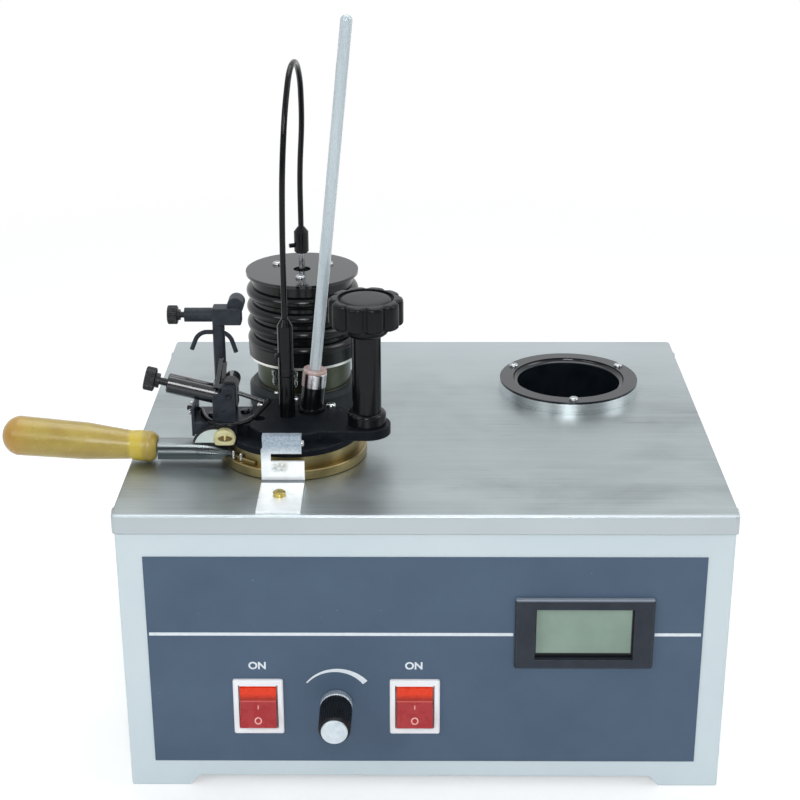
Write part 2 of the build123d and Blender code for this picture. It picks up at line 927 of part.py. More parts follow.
# ---------------------------------------------------------------- heat control
with BuildPart() as control_pot:
    with BuildSketch(front_wall.offset(-case_sheet)):
        with Locations((knob_x, knob_z)):
            Circle(pot_radius)
    extrude(amount=-pot_depth)
    with BuildSketch(front_wall.offset(-case_sheet)):
        with Locations((knob_x, knob_z)):
            Circle(bushing_radius)
    extrude(amount=case_sheet + overlay_thickness + bushing_proud)
    with BuildSketch(front_face.offset(bushing_proud)):
        with Locations((knob_x, knob_z)):
            Circle(pot_shaft_radius + shaft_slip)
    extrude(amount=-(bushing_proud + pot_depth), mode=Mode.SUBTRACT)
    # the hexagon nut that clamps it to the panel
    with BuildSketch(front_face):
        with Locations((knob_x, knob_z)):
            RegularPolygon(nut_size / 2, 6, major_radius=False)
            Circle(bushing_radius, mode=Mode.SUBTRACT)
    extrude(amount=nut_thickness)
control_pot.part.label = "control_pot"
export_step(control_pot.part, "parts/control_pot.step")

knob_back = face_offset + knob_gap
knob_front = knob_back + knob_length - knob_cap_thickness
knob_pocket_depth = bushing_proud + knob_pocket_room
with BuildPart() as control_shaft:
    with BuildSketch(front_face.offset(-pot_depth + pot_floor)):
        with Locations((knob_x, knob_z)):
            Circle(pot_shaft_radius)
    extrude(amount=pot_depth - pot_floor + knob_gap + knob_shaft_depth)
control_shaft.part.label = "control_shaft"
export_step(control_shaft.part, "parts/control_shaft.step")

with BuildPart() as heat_knob:
    with BuildSketch(Plane.XZ.offset(knob_back)):
        with Locations((knob_x, knob_z)):
            Circle(knob_skirt_radius)
    extrude(amount=knob_skirt_thickness)
    with BuildSketch(Plane.XZ.offset(knob_back)):
        with Locations((knob_x, knob_z)):
            Circle(knob_radius)
            with PolarLocations(knob_radius + flute_offset, knob_flutes):
                Circle(flute_radius, mode=Mode.SUBTRACT)
    extrude(amount=knob_length - knob_cap_thickness)
    with BuildSketch(Plane.XZ.offset(knob_back)):
        with Locations((knob_x, knob_z)):
            Circle(pot_shaft_radius + shaft_slip)
    extrude(amount=knob_shaft_depth + end_play, mode=Mode.SUBTRACT)
    with BuildSketch(Plane.XZ.offset(knob_back)):
        with Locations((knob_x, knob_z)):
            Circle(nut_size / 2 / cos(pi / 6) + nut_pocket_slip)
    extrude(amount=knob_pocket_depth, mode=Mode.SUBTRACT)
heat_knob.part.label = "heat_knob"
export_step(heat_knob.part, "parts/heat_knob.step")

with BuildPart() as heat_knob_cap:
    with BuildSketch(Plane.XZ.offset(knob_front)):
        with Locations((knob_x, knob_z)):
            Circle(knob_cap_radius)
    extrude(amount=knob_cap_thickness)
    chamfer(heat_knob_cap.faces().sort_by(Axis.Y)[0].edges(), small_chamfer)
heat_knob_cap.part.label = "heat_knob_cap"
export_step(heat_knob_cap.part, "parts/heat_knob_cap.step")

# ---------------------------------------------------------------- mains inlet and inner board
rear_out = Plane(origin=(inlet_x, front_offset, inlet_z), x_dir=(-1, 0, 0), z_dir=(0, 1, 0))
with BuildPart() as inlet_body:
    with BuildSketch(rear_out):
        RectangleRounded(inlet_flange_width, inlet_flange_height, inlet_corner)
    extrude(amount=inlet_flange_thickness)
    with BuildSketch(rear_out):
        Rectangle(inlet_body_width, inlet_body_height)
    extrude(amount=-inlet_body_depth)
    with BuildSketch(rear_out.offset(inlet_flange_thickness)):
        Rectangle(inlet_recess_width, inlet_recess_height)
    extrude(amount=-inlet_recess_depth, mode=Mode.SUBTRACT)
inlet_floor = rear_out.offset(inlet_flange_thickness - inlet_recess_depth)
with BuildPart() as inlet_pins:
    with BuildSketch(inlet_floor):
        with Locations(
            (-inlet_pin_pitch, -inlet_pin_shift),
            (0, inlet_pin_shift),
            (inlet_pin_pitch, -inlet_pin_shift),
        ):
            Rectangle(inlet_pin_width, inlet_pin_height)
    extrude(amount=inlet_pin_length)
mains_inlet = Compound(label="mains_inlet", children=[inlet_body.part] + list(inlet_pins.solids()))
export_step(mains_inlet, "parts/mains_inlet.step")

board_bottom = base_top + standoff_height
with BuildPart() as control_board:
    with BuildSketch(Plane.XY.offset(board_bottom)):
        with Locations((board_x, board_y)):
            Rectangle(board_width, board_depth)
    extrude(amount=board_thickness)
    with BuildSketch(Plane.XY.offset(base_top)):
        with Locations((board_x, board_y)):
            with GridLocations(board_width - 2 * standoff_inset, board_depth - 2 * standoff_inset, 2, 2):
                Circle(standoff_radius)
    extrude(amount=standoff_height)
    # the transformer, a heat sink and two capacitors stand on the board
    with BuildSketch(Plane.XY.offset(board_bottom + board_thickness)):
        with Locations((board_x + transformer_dx, board_y)):
            Rectangle(transformer_width, transformer_depth)
    extrude(amount=transformer_height)
    with BuildSketch(Plane.XY.offset(board_bottom + board_thickness)):
        with Locations((board_x + sink_dx, board_y + sink_dy)):
            Rectangle(sink_width, sink_thickness)
    extrude(amount=sink_height)
    with BuildSketch(Plane.XY.offset(board_bottom + board_thickness)):
        with Locations(
            (board_x + capacitor_dx, board_y + capacitor_dy),
            (board_x + capacitor_dx + capacitor_pitch, board_y + capacitor_dy),
        ):
            Circle(capacitor_radius)
    extrude(amount=capacitor_height)
control_board.part.label = "control_board"
export_step(control_board.part, "parts/control_board.step")

# ================================================================ cooling well
well_outer = well_bore + well_sheet
well_floor = well_top - well_depth
with BuildPart() as well_bowl:
    with BuildSketch(Plane((well_x, well_y, 0), x_dir=(1, 0, 0), z_dir=(0, -1, 0))):
        with BuildLine():
            Polyline(
                (well_radius, well_ring_top),
                (well_radius, well_top),
                (well_bore + well_lip, well_top),
            )
            RadiusArc(
                (well_bore + well_lip, well_top),
                (well_bore, well_top - well_lip),
                well_lip,
            )
            Line(
                (well_bore, well_top - well_lip),
                (well_bore, well_floor + well_bottom_radius),
            )
            RadiusArc(
                (well_bore, well_floor + well_bottom_radius),
                (well_bore - well_bottom_radius, well_floor),
                -well_bottom_radius,
            )
            Polyline(
                (well_bore - well_bottom_radius, well_floor),
                (0, well_floor),
                (0, well_floor - well_sheet),
                (well_bore - well_bottom_radius, well_floor - well_sheet),
            )
            RadiusArc(
                (well_bore - well_bottom_radius, well_floor - well_sheet),
                (well_outer, well_floor + well_bottom_radius),
                well_bottom_radius + well_sheet,
            )
            Line(
                (well_outer, well_floor + well_bottom_radius),
                (well_outer, well_ring_top - well_lip + well_sheet),
            )
            RadiusArc(
                (well_outer, well_ring_top - well_lip + well_sheet),
                (well_outer + well_lip - well_sheet, well_ring_top),
                -(well_lip - well_sheet),
            )
            Line(
                (well_outer + well_lip - well_sheet, well_ring_top),
                (well_radius, well_ring_top),
            )
        make_face()
    revolve(axis=Axis((well_x, well_y, 0), (0, 0, 1)))
    with BuildSketch(Plane.XY.offset(well_ring_top)):
        with Locations((well_x, well_y)):
            with PolarLocations(well_screw_circle, ring_screws, start_angle=well_screw_turn):
                Circle(screw_hole_radius)
    extrude(amount=well_sheet, mode=Mode.SUBTRACT)
well_bowl.part.label = "well_bowl"
export_step(well_bowl.part, "parts/well_bowl.step")

with BuildPart() as well_ring:
    with BuildSketch(Plane.XY.offset(lid_top)):
        with Locations((well_x, well_y)):
            Circle(well_radius)
            Circle(well_outer + well_lip - well_sheet + sheet_slip, mode=Mode.SUBTRACT)
            with PolarLocations(well_screw_circle, ring_screws, start_angle=well_screw_turn):
                Circle(screw_hole_radius, mode=Mode.SUBTRACT)
    extrude(amount=well_ring_height)
well_ring.part.label = "well_ring"
export_step(well_ring.part, "parts/well_ring.step")

# ================================================================ stove
with BuildPart() as stove_ring:
    with BuildSketch(Plane.XY.offset(lid_top)):
        with Locations((stove_x, stove_y)):
            Circle(stove_ring_radius)
    extrude(amount=stove_ring_height)
    chamfer(stove_ring.edges().filter_by(GeomType.CIRCLE), stove_chamfer)
    with BuildSketch(Plane.XY.offset(lid_top)):
        with Locations((stove_x, stove_y)):
            Circle(stove_spigot_radius)
    extrude(amount=-(lid_top - chamber_top))
    with BuildSketch(Plane.XY.offset(stove_top)):
        with Locations((stove_x, stove_y)):
            Circle(chamber_bore)
    extrude(amount=-(stove_top - chamber_top), mode=Mode.SUBTRACT)
stove_ring.part.label = "stove_ring"
export_step(stove_ring.part, "parts/stove_ring.step")

with BuildPart() as heating_chamber:
    with BuildSketch(Plane.XY.offset(chamber_floor - chamber_floor_thickness)):
        with Locations((stove_x, stove_y)):
            Circle(chamber_radius)
    extrude(amount=chamber_top - chamber_floor + chamber_floor_thickness)
    with BuildSketch(Plane.XY.offset(chamber_floor)):
        with Locations((stove_x, stove_y)):
            Circle(chamber_bore)
    extrude(amount=chamber_top - chamber_floor, mode=Mode.SUBTRACT)
heating_chamber.part.label = "heating_chamber"
export_step(heating_chamber.part, "parts/heating_chamber.step")

with BuildPart() as heater_band:
    with BuildSketch(Plane.XY.offset(heater_bottom)):
        with Locations((stove_x, stove_y)):
            Circle(chamber_radius + sheet_slip + heater_thickness)
            Circle(chamber_radius + sheet_slip, mode=Mode.SUBTRACT)
    extrude(amount=heater_height)
heater_band.part.label = "heater_band"
export_step(heater_band.part, "parts/heater_band.step")

# The jacket is a sheet can under the lid, packed with an insulating lining.
jacket_inside = jacket_radius - jacket_sheet
lining_inner = chamber_radius + heater_thickness + 2 * sheet_slip + lining_slip
chamber_bottom = chamber_floor - chamber_floor_thickness
with BuildPart() as jacket_can:
    with BuildSketch(Plane.XY.offset(jacket_bottom)):
        with Locations((stove_x, stove_y)):
            Circle(jacket_radius)
    extrude(amount=lid_under - jacket_bottom)
    with BuildSketch(Plane.XY.offset(lid_under - jacket_sheet)):
        with Locations((stove_x, stove_y)):
            Circle(jacket_radius + jacket_flange)
    extrude(amount=jacket_sheet)
    with BuildSketch(Plane.XY.offset(jacket_bottom + jacket_sheet)):
        with Locations((stove_x, stove_y)):
            Circle(jacket_inside)
    extrude(amount=lid_under - jacket_bottom - jacket_sheet, mode=Mode.SUBTRACT)
with BuildPart() as jacket_lining:
    with BuildSketch(Plane.XY.offset(jacket_bottom + jacket_sheet)):
        with Locations((stove_x, stove_y)):
            Circle(jacket_inside - sheet_slip)
    extrude(amount=chamber_top - jacket_bottom - jacket_sheet)
    with BuildSketch(Plane.XY.offset(chamber_bottom)):
        with Locations((stove_x, stove_y)):
            Circle(lining_inner)
    extrude(amount=chamber_top - chamber_bottom, mode=Mode.SUBTRACT)
stove_jacket = Compound(label="stove_jacket", children=[jacket_can.part, jacket_lining.part])
export_step(stove_jacket, "parts/stove_jacket.step")

# ================================================================ stirrer motor
with BuildPart() as motor_base:
    with BuildSketch(Plane.XY.offset(lid_top)):
        with Locations((motor_x, motor_y)):
            Circle(motor_base_radius)
            Circle(wire_hole_radius, mode=Mode.SUBTRACT)
    extrude(amount=motor_base_height)
    chamfer(motor_base.faces().sort_by(Axis.Z)[-1].edges().sort_by(SortBy.RADIUS)[-1], motor_base_chamfer)
    with BuildSketch(Plane.XY.offset(lid_top)):
        with Locations((motor_x, motor_y)):
            with PolarLocations(motor_screw_circle, ring_screws, start_angle=motor_screw_turn):
                Circle(screw_hole_radius)
    extrude(amount=screw_shank_length, mode=Mode.SUBTRACT)
motor_base.part.label = "motor_base"
export_step(motor_base.part, "parts/motor_base.step")

with BuildPart() as motor_neck:
    with BuildSketch(Plane.XY.offset(motor_base_top)):
        with Locations((motor_x, motor_y)):
            Circle(motor_neck_radius)
            Circle(motor_neck_radius - motor_neck_wall, mode=Mode.SUBTRACT)
    extrude(amount=motor_neck_height)
    with BuildSketch(Plane.XY.offset(motor_rim_bottom)):
        with Locations((motor_x, motor_y)):
            Circle(motor_rim_radius)
            Circle(wire_hole_radius, mode=Mode.SUBTRACT)
    extrude(amount=motor_rim_thickness)
motor_neck.part.label = "motor_neck"
export_step(motor_neck.part, "parts/motor_neck.step")

cover_inside = cover_valley_radius - cover_wall
with BuildPart() as motor_cover:
    with BuildSketch(Plane((motor_x, motor_y, 0), x_dir=(1, 0, 0), z_dir=(0, -1, 0))):
        with BuildLine():
            Line((cover_inside, motor_rim_top), (cover_valley_radius, motor_rim_top))
            below = (cover_valley_radius, motor_rim_top)
            for rib in range(cover_ribs):
                rib_z = motor_rim_top + cover_first_rib + rib * cover_rib_pitch
                Line(below, (cover_valley_radius, rib_z - cover_rib_half))
                ThreePointArc(
                    (cover_valley_radius, rib_z - cover_rib_half),
                    (cover_rib_radius, rib_z),
                    (cover_valley_radius, rib_z + cover_rib_half),
                )
                below = (cover_valley_radius, rib_z + cover_rib_half)
            Polyline(
                below,
                (cover_valley_radius, cover_top),
                (cover_mouth, cover_top),
                (cover_mouth, cover_top - cover_roof),
                (cover_inside, cover_top - cover_roof),
                (cover_inside, motor_rim_top),
            )
        make_face()
    revolve(axis=Axis((motor_x, motor_y, 0), (0, 0, 1)))
    # the plain band at the foot reaches up into the lowest rib
    with BuildSketch(Plane.XY.offset(motor_rim_top)):
        with Locations((motor_x, motor_y)):
            Circle(cover_rib_radius - cover_band_inset)
            Circle(cover_inside, mode=Mode.SUBTRACT)
    extrude(amount=cover_band_height)
    with BuildSketch(Plane.XY.offset(cover_top)):
        with Locations((motor_x, motor_y)):
            with PolarLocations(motor_disc_screw_circle, ring_screws, start_angle=motor_disc_screw_turn):
                Circle(screw_hole_radius)
    extrude(amount=-cover_roof + blind_rest, mode=Mode.SUBTRACT)
motor_cover.part.label = "motor_cover"
export_step(motor_cover.part, "parts/motor_cover.step")

motor_can_top = cover_top - cover_roof - motor_can_gap
motor_shaft_bottom = motor_rim_top + motor_bearing_height
with BuildPart() as motor_body:
    with BuildSketch(Plane.XY.offset(motor_rim_top)):
        with Locations((motor_x, motor_y)):
            Circle(cover_inside - motor_can_gap)
    extrude(amount=motor_can_top - motor_rim_top)
    with BuildSketch(Plane.XY.offset(motor_can_top)):
        with Locations((motor_x, motor_y)):
            Circle(motor_boss_radius)
    extrude(amount=motor_boss_height)
    with BuildSketch(Plane.XY.offset(motor_can_top + motor_boss_height)):
        with Locations((motor_x, motor_y)):
            Circle(motor_shaft_radius + shaft_slip)
    extrude(
        amount=-(motor_can_top + motor_boss_height - motor_shaft_bottom),
        mode=Mode.SUBTRACT,
    )
motor_body.part.label = "motor_body"
export_step(motor_body.part, "parts/motor_body.step")

with BuildPart() as motor_cover_disc:
    with BuildSketch(Plane.XY.offset(cover_top)):
        with Locations((motor_x, motor_y)):
            Circle(motor_disc_radius)
            Circle(motor_disc_hole, mode=Mode.SUBTRACT)
            with PolarLocations(motor_disc_screw_circle, ring_screws, start_angle=motor_disc_screw_turn):
                Circle(screw_hole_radius, mode=Mode.SUBTRACT)
    extrude(amount=motor_disc_thickness)
motor_cover_disc.part.label = "motor_cover_disc"
export_step(motor_cover_disc.part, "parts/motor_cover_disc.step")

motor_disc_screws = []
for turn in range(ring_screws):
    around = radians(motor_disc_screw_turn + 360 / ring_screws * turn)
    seat = Plane(
        origin=(
            motor_x + motor_disc_screw_circle * cos(around),
            motor_y + motor_disc_screw_circle * sin(around),
            motor_disc_top,
        ),
        z_dir=(0, 0, 1),
    )
    motor_disc_screws.append(dome_screw(seat, motor_disc_thickness + cover_roof - disc_screw_rest))
motor_disc_screws = Compound(label="motor_disc_screws", children=motor_disc_screws)
export_step(motor_disc_screws, "parts/motor_disc_screws.step")

motor_shaft_top = motor_disc_top + motor_shaft_above
with BuildPart() as motor_shaft:
    with BuildSketch(Plane.XY.offset(motor_shaft_bottom + end_play)):
        with Locations((motor_x, motor_y)):
            Circle(motor_shaft_radius)
    extrude(amount=motor_shaft_top - motor_shaft_bottom - end_play)
    chamfer(motor_shaft.faces().sort_by(Axis.Z)[-1].edges(), small_chamfer)
motor_shaft.part.label = "motor_shaft"
export_step(motor_shaft.part, "parts/motor_shaft.step")

# ================================================================ latch bracket
latch_plane = Plane.XZ.offset(-latch_front)
with BuildPart() as latch_bracket:
    with BuildSketch(latch_plane):
        with BuildLine():
            Polyline(
                (latch_left, lid_top),
                (latch_left, latch_slot_top + latch_left_shoulder),
                (latch_neck_left, latch_slot_top + latch_neck_shoulder),
                (latch_neck_left, latch_top),
                (latch_neck_right, latch_top),
                (latch_neck_right, latch_slot_top),
                (latch_slot_left, latch_slot_top),
                (latch_slot_left, latch_slot_bottom),
                (latch_right, latch_slot_bottom),
                (latch_right, lid_top),
                close=True,
            )
        make_face()
    extrude(amount=-latch_sheet)
    # the foot runs forward on the lid and the hood runs back over the cup's edge
    with BuildSketch(Plane.XY.offset(lid_top)):
        with Locations(((latch_left + latch_right) / 2, (latch_foot_front + latch_front) / 2)):
            Rectangle(latch_right - latch_left, latch_front - latch_foot_front)
        with Locations((latch_screw_x, latch_screw_y)):
            Circle(screw_hole_radius, mode=Mode.SUBTRACT)
    extrude(amount=latch_sheet)
    hood_back = latch_front + latch_sheet + latch_hood_depth
    with BuildSketch(Plane.XY.offset(latch_top)):
        with Locations(((latch_neck_left + latch_neck_right) / 2, (latch_front + hood_back) / 2)):
            Rectangle(latch_neck_right - latch_neck_left, hood_back - latch_front)
    extrude(amount=-latch_sheet)
    # an ear at the hood's right end carries the rivet
    with BuildSketch(Plane.YZ.offset(latch_neck_right)):
        with BuildLine():
            Polyline(
                (latch_front, latch_slot_top + latch_ear_rise),
                (latch_front, latch_top),
                (hood_back, latch_top),
                (hood_back, latch_slot_top + latch_ear_rise),
                close=True,
            )
        make_face()
        with Locations(((latch_front + hood_back) / 2, latch_pin_z)):
            Circle(latch_pin_shank + screw_slip, mode=Mode.SUBTRACT)
    extrude(amount=-latch_sheet)
latch_bracket.part.label = "latch_bracket"
export_step(latch_bracket.part, "parts/latch_bracket.step")

with BuildPart() as latch_screw:
    with BuildSketch(Plane.XY.offset(lid_top + latch_sheet)):
        with Locations((latch_screw_x, latch_screw_y)):
            Circle(latch_screw_radius)
    extrude(amount=latch_screw_height)
    chamfer(latch_screw.faces().sort_by(Axis.Z)[-1].edges(), latch_screw_chamfer)
    with BuildSketch(Plane.XY.offset(lid_top + latch_sheet + latch_screw_height)):
        with Locations((latch_screw_x, latch_screw_y)):
            Rectangle(2 * latch_screw_radius, latch_screw_slot)
    extrude(amount=-latch_screw_slot, mode=Mode.SUBTRACT)
    with BuildSketch(Plane.XY.offset(lid_top + latch_sheet)):
        with Locations((latch_screw_x, latch_screw_y)):
            Circle(screw_shank_radius)
    extrude(amount=-(latch_sheet + lid_sheet + latch_screw_run_out))
with BuildPart() as latch_rivet:
    rivet_y = (latch_front + hood_back) / 2
    with BuildSketch(Plane.YZ.offset(latch_neck_right)):
        with Locations((rivet_y, latch_pin_z)):
            Circle(latch_pin_radius)
    extrude(amount=latch_pin_head)
    fillet(latch_rivet.faces().sort_by(Axis.X)[-1].edges(), latch_pin_round)
    with BuildSketch(Plane.YZ.offset(latch_neck_right)):
        with Locations((rivet_y, latch_pin_z)):
            Circle(latch_pin_shank)
    extrude(amount=-latch_sheet)
latch_fasteners = Compound(label="latch_fasteners", children=[latch_screw.part, latch_rivet.part])
export_step(latch_fasteners, "parts/latch_fasteners.step")

# ================================================================ test cup and handle
cup_floor_z = cup_top - cup_depth
with BuildPart() as test_cup:
    with BuildSketch(Plane.XY.offset(cup_floor_z - cup_floor)):
        with Locations((stove_x, stove_y)):
            Circle(cup_radius)
    extrude(amount=cup_depth + cup_floor)
    chamfer(test_cup.faces().sort_by(Axis.Z)[0].edges(), cup_foot_chamfer)
    with BuildSketch(Plane.XY.offset(stove_top)):
        with Locations((stove_x, stove_y)):
            Circle(cup_flange_radius)
    extrude(amount=cup_flange_height)
    with BuildSketch(Plane.XY.offset(cup_floor_z)):
        with Locations((stove_x, stove_y)):
            Circle(cup_bore)
    extrude(amount=cup_depth, mode=Mode.SUBTRACT)
test_cup.part.label = "test_cup"
export_step(test_cup.part, "parts/test_cup.step")

grip_slope = degrees(atan2(grip_left_z - grip_right_z, grip_right_x - grip_left_x))
grip_length = hypot(grip_left_z - grip_right_z, grip_right_x - grip_left_x)
grip_axis_dir = (cos(radians(grip_slope)), 0, -sin(radians(grip_slope)))
grip_plane = Plane(
    origin=(grip_left_x, handle_y, grip_left_z),
    x_dir=grip_axis_dir,
    z_dir=(0, -1, 0),
)
strip_bottom = stove_top + strip_lift
strip_top = strip_bottom + strip_height
with BuildPart() as handle_bar:
    # the channel from the grip to the cup's flange
    with BuildSketch(Plane.XZ.offset(-(handle_y + handle_width / 2))):
        with BuildLine():
            Polyline(
                (handle_end_x, handle_end_bottom),
                (handle_end_x, handle_end_top),
                (handle_crest_x, handle_crest_z),
                (handle_root_x, strip_top),
                (handle_root_x, strip_bottom),
                (handle_heel_x, strip_bottom),
                (handle_bend_x, handle_bend_z),
                close=True,
            )
        make_face()
    extrude(amount=handle_width)
    channel_edges = handle_bar.edges().filter_by(GeomType.LINE)
    fillet(channel_edges.filter_by_position(Axis.Z, strip_top + handle_round, handle_end_top), handle_round)
    with BuildSketch(Plane.XZ.offset(-(handle_y + handle_width / 2 - handle_sheet))):
        with BuildLine():
            Polyline(
                (handle_end_x - handle_sheet, channel_bottom),
                (handle_end_x - handle_sheet, handle_end_top - handle_sheet),
                (handle_crest_x, handle_crest_z - handle_sheet),
                (channel_root_x, strip_top - handle_sheet),
                (channel_heel_x, channel_bottom),
                close=True,
            )
        make_face()
    extrude(amount=handle_width - 2 * handle_sheet, mode=Mode.SUBTRACT)
    # the curved strip that hugs the flange
    with BuildSketch(Plane.XY.offset(strip_bottom)):
        with BuildLine():
            CenterArc(
                (stove_x, stove_y),
                cup_flange_radius + sheet_slip + strip_width,
                strip_start,
                strip_end - strip_start,
            )
            CenterArc(
                (stove_x, stove_y),
                cup_flange_radius + sheet_slip,
                strip_start,
                strip_end - strip_start,
            )
            for strip_angle in (strip_start, strip_end):
                Line(
                    (
                        stove_x + (cup_flange_radius + sheet_slip) * cos(radians(strip_angle)),
                        stove_y + (cup_flange_radius + sheet_slip) * sin(radians(strip_angle)),
                    ),
                    (
                        stove_x
                        + (cup_flange_radius + sheet_slip + strip_width) * cos(radians(strip_angle)),
                        stove_y
                        + (cup_flange_radius + sheet_slip + strip_width) * sin(radians(strip_angle)),
                    ),
                )
        make_face()
    extrude(amount=strip_height)
    # nothing of the handle reaches into the flange
    with BuildSketch(Plane.XY.offset(lid_top)):
        with Locations((stove_x, stove_y)):
            Circle(cup_flange_radius + sheet_slip)
    extrude(amount=rim_top - lid_top, mode=Mode.SUBTRACT)
    # the tang runs into the grip, behind a closing web
    tang_plane = Plane(grip_plane.origin, x_dir=(0, 1, 0), z_dir=grip_axis_dir)
    with BuildSketch(tang_plane.offset(grip_length - tang_length)):
        Circle(tang_radius)
    extrude(amount=tang_length + handle_width / 2)
    with BuildSketch(tang_plane.offset(grip_length + sheet_slip)):
        Rectangle(handle_width, handle_web_height)
    extrude(amount=handle_sheet)
handle_studs = []
for stud_angle in stud_angles:
    with BuildPart() as stud:
        with BuildSketch(Plane.XY.offset(strip_top)):
            with Locations(
                (
                    stove_x + stud_circle * cos(radians(stud_angle)),
                    stove_y + stud_circle * sin(radians(stud_angle)),
                )
            ):
                Circle(stud_radius)
        extrude(amount=stud_height)
        chamfer(stud.faces().sort_by(Axis.Z)[-1].edges(), small_chamfer)
    handle_studs.append(stud.part)
cup_handle_bar = Compound(label="cup_handle_bar", children=[handle_bar.part] + handle_studs)
export_step(cup_handle_bar, "parts/cup_handle_bar.step")

with BuildPart() as cup_handle_grip:
    with BuildSketch(grip_plane):
        with BuildLine():
            ThreePointArc((0, 0), grip_nose, (grip_shoulder, grip_end_radius))
            Polyline(
                (grip_shoulder, grip_end_radius),
                (grip_waist, grip_end_radius - grip_waist_drop),
                (grip_neck, grip_neck_radius),
            )
            ThreePointArc(
                (grip_neck, grip_neck_radius),
                (grip_hollow, grip_neck_radius + grip_neck_rise),
                (grip_collar, grip_collar_radius),
            )
            ThreePointArc(
                (grip_collar, grip_collar_radius),
                (grip_collar_middle, grip_collar_radius - grip_collar_drop),
                (grip_length, grip_collar_radius - grip_end_drop),
            )
            Line((grip_length, grip_collar_radius - grip_end_drop), (grip_length, 0))
            Line((grip_length, 0), (0, 0))
        make_face()
    revolve(axis=Axis(grip_plane.origin, grip_axis_dir))
    with BuildSketch(tang_plane.offset(grip_length)):
        Circle(tang_radius + sheet_slip)
    extrude(amount=-(tang_length + tang_end_gap), mode=Mode.SUBTRACT)
cup_handle_grip.part.label = "cup_handle_grip"
export_step(cup_handle_grip.part, "parts/cup_handle_grip.step")

# ================================================================ cover
thermo_dir = (sin(radians(thermo_tilt)), 0, cos(radians(thermo_tilt)))
thermo_plane = Plane(origin=(thermo_foot_x, thermo_y, plate_top), x_dir=(0, 1, 0), z_dir=thermo_dir)
thermo_hole_radius = thermo_radius + thermo_hole_slip
stirrer_hole_radius = stirrer_radius + stirrer_hole_slip

with BuildPart() as cover_rim:
    with BuildSketch(Plane.XY.offset(cup_top)):
        with Locations((stove_x, stove_y)):
            Circle(rim_radius)
    extrude(amount=rim_height)
    chamfer(cover_rim.faces().sort_by(Axis.Z)[-1].edges(), rim_chamfer)
    with BuildSketch(Plane.XY.offset(cup_top)):
        with Locations((stove_x, stove_y)):
            Circle(cup_bore - spigot_gap)
    extrude(amount=-spigot_depth)
    with BuildSketch(Plane.XY.offset(rim_top)):
        with Locations((stirrer_x, stirrer_y)):
            Circle(stirrer_hole_radius)
        with Locations((port_x, port_y)):
            Circle(port_radius)
    extrude(amount=-(rim_height + spigot_depth), mode=Mode.SUBTRACT)
    with BuildSketch(thermo_plane):
        Circle(thermo_hole_radius)
    extrude(amount=-thermo_hole_depth, mode=Mode.SUBTRACT)
    # the front left edge is cut away behind the flame gauge
    with BuildSketch(Plane.XY.offset(rim_top)):
        with Locations((stove_x - rim_radius, stove_y - rim_radius)):
            Rectangle(
                2 * (gauge_notch_x - stove_x + rim_radius),
                2 * (gauge_notch_y - stove_y + rim_radius),
            )
    extrude(amount=-(rim_top - gauge_flat_z + shutter_gap), mode=Mode.SUBTRACT)
cover_rim.part.label = "cover_rim"
export_step(cover_rim.part, "parts/cover_rim.step")

# The shutter turns about the stirrer's axis. A crank on the knob's spindle swings its arm.
arm_line = degrees(atan2(column_y - stirrer_y, column_x - stirrer_x))
arm_rest = arm_line + shutter_turn / 2
port_angle = degrees(atan2(port_y - stirrer_y, port_x - stirrer_x))
port_circle = hypot(port_x - stirrer_x, port_y - stirrer_y)
column_distance = hypot(column_x - stirrer_x, column_y - stirrer_y)
arm_end = column_distance - spindle_radius - arm_end_gap

